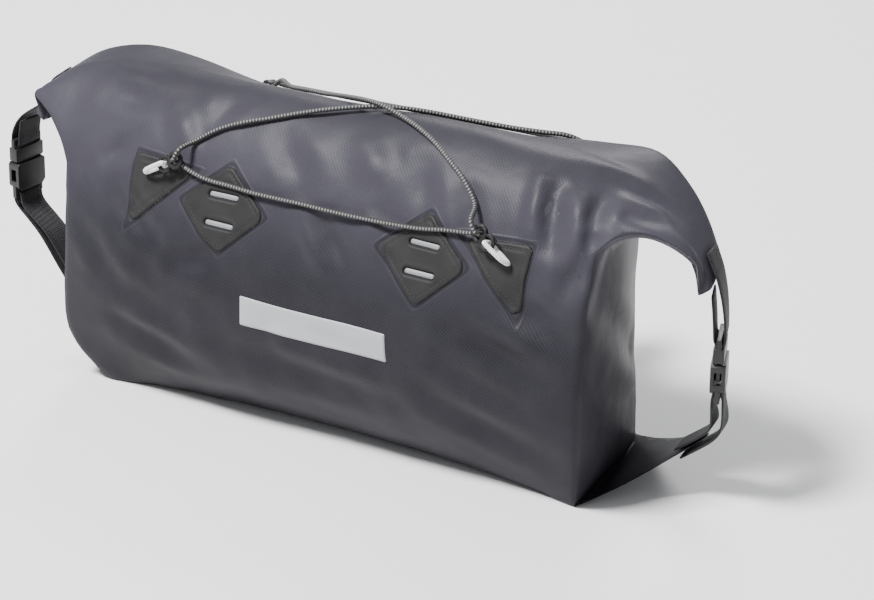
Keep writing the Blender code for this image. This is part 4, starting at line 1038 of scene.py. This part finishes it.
def quads_of(work, flat=14.0):
    """Join the triangles of a swept or gridded solid in pairs."""
    bmesh.ops.join_triangles(work, faces=work.faces[:], angle_face_threshold=math.radians(flat),
                             angle_shape_threshold=math.radians(80.0))
    return work


def make_cloth():
    """The bag's cloth: the CAD shell rounded, folded and rippled."""
    size = looks()
    mesh = softened(quads_of(solid_of("bag_shell")), "folded_cloth", size.cloth_levels, 50, 95)
    work = bmesh.new()
    work.from_mesh(mesh)
    near = set()
    for face in work.faces:
        middle = face.calc_center_median()
        out = Vector((0.0, middle.y, middle.z - 0.11))
        if middle.y < -0.040 and face.normal.dot(out) > 0.0:
            near.update(face.edges)
    bmesh.ops.subdivide_edges(work, edges=list(near), cuts=1, use_grid_fill=True)
    points = np.array([v.co[:] for v in work.verts])
    points = points + fold_shift(points)
    points[:, 2] = np.maximum(points[:, 2], 0.0001)
    for vertex, point in zip(work.verts, points):
        vertex.co = point
    bmesh.ops.triangulate(work, faces=work.faces[:])
    work.to_mesh(mesh)
    work.free()
    mesh.update()
    add_pattern(mesh)
    SURFACE[:] = [Surface(mesh)]
    return show("folded_cloth", mesh, "cloth", ("bag_shell",))


def make_patches():
    """Rubbery patches, the bars in their slots, the label and the stitches."""
    length, width = SLOT_SIZE
    for side, word in SIDES:
        corners = rounded(shrunk(flipped(TRIANGLE, side), -PATCH_MARGIN), TRIANGLE_ROUND)
        plate("rubber_triangle_" + word, corners, (), PATCH_PROFILE, SLOT_PROFILE, 0.0012,
              "rubber", ("patch_triangle_" + word,))
        holes = [slot_shape((side * x, z), length, width) for x, z in SLOTS.values()]
        corners = rounded(shrunk(flipped(DIAMOND, side), -PATCH_MARGIN), DIAMOND_ROUND)
        plate("rubber_diamond_" + word, corners, holes, PATCH_PROFILE, SLOT_PROFILE, 0.0011,
              "rubber", ("patch_diamond_" + word,))
        for level, (x, z) in SLOTS.items():
            bar = slot_shape((side * x, z), length - 2.0 * BAR_MARGIN, width - 2.0 * BAR_MARGIN)
            plate("bar_" + word + "_" + level, bar, (), BAR_PROFILE, (), 0.0007, "reflector",
                  ("reflector_" + word + "_" + level,))
        seams = []
        for shape, radius in zip((DIAMOND, TRIANGLE), STITCH_ROUND):
            inner = shrunk(flipped(shape, side), STITCH_INSET - PATCH_MARGIN)
            path = divided(rounded(inner, radius), 0.0015)
            seams.append((on_front(path, STITCH_LIFT), True))
        stitched("patch_stitches_" + word, seams)
    half, low, high = LABEL
    corners = ((-half, low), (half, low), (half, high), (-half, high))
    plate("label_film", rounded(corners, 0.0008), (), LABEL_PROFILE, (), 0.0014, "label",
          ("label_strip",))


def cleared(path, distance):
    """Path moved outwards wherever it is closer to the cloth than a distance."""
    skin = surface()
    return [skin.clear(point, distance) for point in path]


def make_cords():
    """The elastic cord and the four loops that hold its hooks."""
    size = looks()
    path = smooth_loop(np.array(CORD_PATH) * MM, True, 5)
    path = cleared(path, size.cord_radius + 0.0001)
    show("braided_cord", tube_mesh("braided_cord", path, size.cord_radius, True, 14), "cord",
         ("shock_cord",))
    for name, table in LOOP_PATHS.items():
        path = smooth_loop(np.array(table) * MM, True, 6)
        show("braided_" + name, tube_mesh("braided_" + name, path, LOOP_RADIUS, True),
             "white_cord", (name,))


def make_hooks():
    """Rounded plastic hooks on the cord."""
    for place in ("front", "rear"):
        for _, word in SIDES:
            node = "cord_hook_" + place + "_" + word
            mesh = bevelled(flat_joined(solid_of(node)), "hook_" + place + "_" + word, 0.0004, 2)
            swell(mesh, HOOK_SWELL)
            show("hook_" + place + "_" + word, mesh, "plastic", (node,))


def make_straps():
    """Webbing straps with their buckles."""
    for _, word in SIDES:
        for place in ("upper", "lower"):
            node = "strap_" + place + "_" + word
            mesh = softened(quads_of(solid_of(node), 25.0), "webbing_" + place + "_" + word, 2,
                            50, 85, 0.75)
            add_pattern(mesh)
            show("webbing_" + place + "_" + word, mesh, "webbing", (node,))
        for part in ("male", "female"):
            node = "buckle_" + part + "_" + word
            mesh = bevelled(flat_joined(solid_of(node)), "side_buckle_" + part + "_" + word,
                            0.0009)
            show("side_buckle_" + part + "_" + word, mesh, "plastic", (node,))


def make_mount():
    """Foam spacers and rubber straps of the plain rear mount."""
    for _, word in SIDES:
        node = "spacer_" + word
        mesh = bevelled(flat_joined(solid_of(node)), "foam_" + word, 0.0015, 4)
        pad = show("foam_" + word, mesh, "foam", (node,))
        node = "bar_strap_" + word
        mesh = bevelled(flat_joined(solid_of(node)), "rubber_strap_" + word, 0.0004, 2)
        show("rubber_strap_" + word, mesh, "bar_rubber", (node,))


def area_lamp(name, place, aim, size, power, colour=(1.0, 1.0, 1.0)):
    """Soft square lamp at a place, aimed at a point."""
    lamp = bpy.data.lights.new(name, "AREA")
    lamp.size = size
    lamp.energy = power
    lamp.color = colour
    item = bpy.data.objects.new(name, lamp)
    item.location = place
    way = Vector(aim) - Vector(place)
    item.rotation_euler = way.to_track_quat("-Z", "Y").to_euler()
    bpy.context.scene.collection.objects.link(item)


def make_stage():
    """Pale floor, soft lamps, plain surroundings and the camera of the photo."""
    scene = bpy.context.scene
    half = FLOOR_HALF
    corners = [(-half, -half, 0.0), (half, -half, 0.0), (half, half, 0.0), (-half, half, 0.0)]
    mesh = mesh_from("floor", corners, [(0, 1, 2, 3)])
    floor = bpy.data.objects.new("floor", mesh)
    scene.collection.objects.link(floor)
    look = Look("pale_floor", 0.75)
    mesh.materials.append(look.finish(looks().floor_colour))
    for name, place, lamp_size, power in LAMPS:
        area_lamp(name, place, (0.0, 0.0, 0.1), lamp_size, power)
    world = bpy.data.worlds.new("studio")
    world.use_nodes = True
    ground = world.node_tree.nodes["Background"]
    ground.inputs["Color"].default_value = (0.95, 0.97, 1.0, 1.0)
    ground.inputs["Strength"].default_value = WORLD_STRENGTH
    scene.world = world
    camera = bpy.data.objects.new("camera", bpy.data.cameras.new("camera"))
    camera.data.lens = CAMERA_LENS
    camera.data.sensor_width = 36.0
    camera.data.clip_end = 50.0
    camera.location = CAMERA_PLACE
    azimuth, elevation = (math.radians(angle) for angle in CAMERA_ANGLES)
    camera.rotation_euler = (0.5 * math.pi - elevation, 0.0, azimuth)
    scene.collection.objects.link(camera)
    scene.camera = camera


class MakePiece:
    """What the operators share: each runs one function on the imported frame."""

    bl_options = {"REGISTER", "UNDO"}

    @classmethod
    def poll(cls, context):
        return context.mode == "OBJECT"


class BAG_OT_cloth(MakePiece, bpy.types.Operator):
    """Make the folded cloth of the bag"""

    bl_idname = "bag.cloth"
    bl_label = "Cloth"

    def execute(self, context):
        make_cloth()
        return {"FINISHED"}


class BAG_OT_patches(MakePiece, bpy.types.Operator):
    """Lay the patches, bars, label and stitches on the cloth"""

    bl_idname = "bag.patches"
    bl_label = "Patches and label"

    def execute(self, context):
        make_patches()
        return {"FINISHED"}


class BAG_OT_cords(MakePiece, bpy.types.Operator):
    """Lay the elastic cord and its loops"""

    bl_idname = "bag.cords"
    bl_label = "Cord and loops"

    def execute(self, context):
        make_cords()
        return {"FINISHED"}


class BAG_OT_hooks(MakePiece, bpy.types.Operator):
    """Make the cord's hooks"""

    bl_idname = "bag.hooks"
    bl_label = "Hooks"

    def execute(self, context):
        make_hooks()
        return {"FINISHED"}


class BAG_OT_straps(MakePiece, bpy.types.Operator):
    """Make the side straps and buckles"""

    bl_idname = "bag.straps"
    bl_label = "Straps and buckles"

    def execute(self, context):
        make_straps()
        return {"FINISHED"}


class BAG_OT_mount(MakePiece, bpy.types.Operator):
    """Make the rear spacers and bar straps"""

    bl_idname = "bag.mount"
    bl_label = "Rear mount"

    def execute(self, context):
        make_mount()
        return {"FINISHED"}


class BAG_OT_stage(MakePiece, bpy.types.Operator):
    """Set the floor, the lamps and the camera"""

    bl_idname = "bag.stage"
    bl_label = "Stage"

    def execute(self, context):
        make_stage()
        return {"FINISHED"}


class BAG_PT_pieces(bpy.types.Panel):
    """Sidebar panel with the bag's sizes, colours and pieces"""

    bl_label = "Handlebar Bag"
    bl_idname = "BAG_PT_pieces"
    bl_space_type = "VIEW_3D"
    bl_region_type = "UI"
    bl_category = "Bag"

    def draw(self, context):
        column = self.layout.column()
        for name in BagLooks.__annotations__:
            column.prop(context.scene.bag_looks, name)
        for operator in OPERATORS:
            column.operator(operator.bl_idname)


OPERATORS = (BAG_OT_cloth, BAG_OT_patches, BAG_OT_cords, BAG_OT_hooks, BAG_OT_straps,
             BAG_OT_mount, BAG_OT_stage)


def register():
    """Add the classes and the scene's settings."""
    for item in (BagLooks, *OPERATORS, BAG_PT_pieces):
        bpy.utils.register_class(item)
    bpy.types.Scene.bag_looks = PointerProperty(type=BagLooks)


def unregister():
    """Take the classes and the scene's settings away again."""
    del bpy.types.Scene.bag_looks
    for item in (BAG_PT_pieces, *reversed(OPERATORS), BagLooks):
        bpy.utils.unregister_class(item)


def main():
    """Build every piece in order."""
    register()
    bpy.ops.bag.cloth()
    bpy.ops.bag.patches()
    bpy.ops.bag.cords()
    bpy.ops.bag.hooks()
    bpy.ops.bag.straps()
    bpy.ops.bag.mount()
    bpy.ops.bag.stage()


if __name__ == "__main__":
    main()
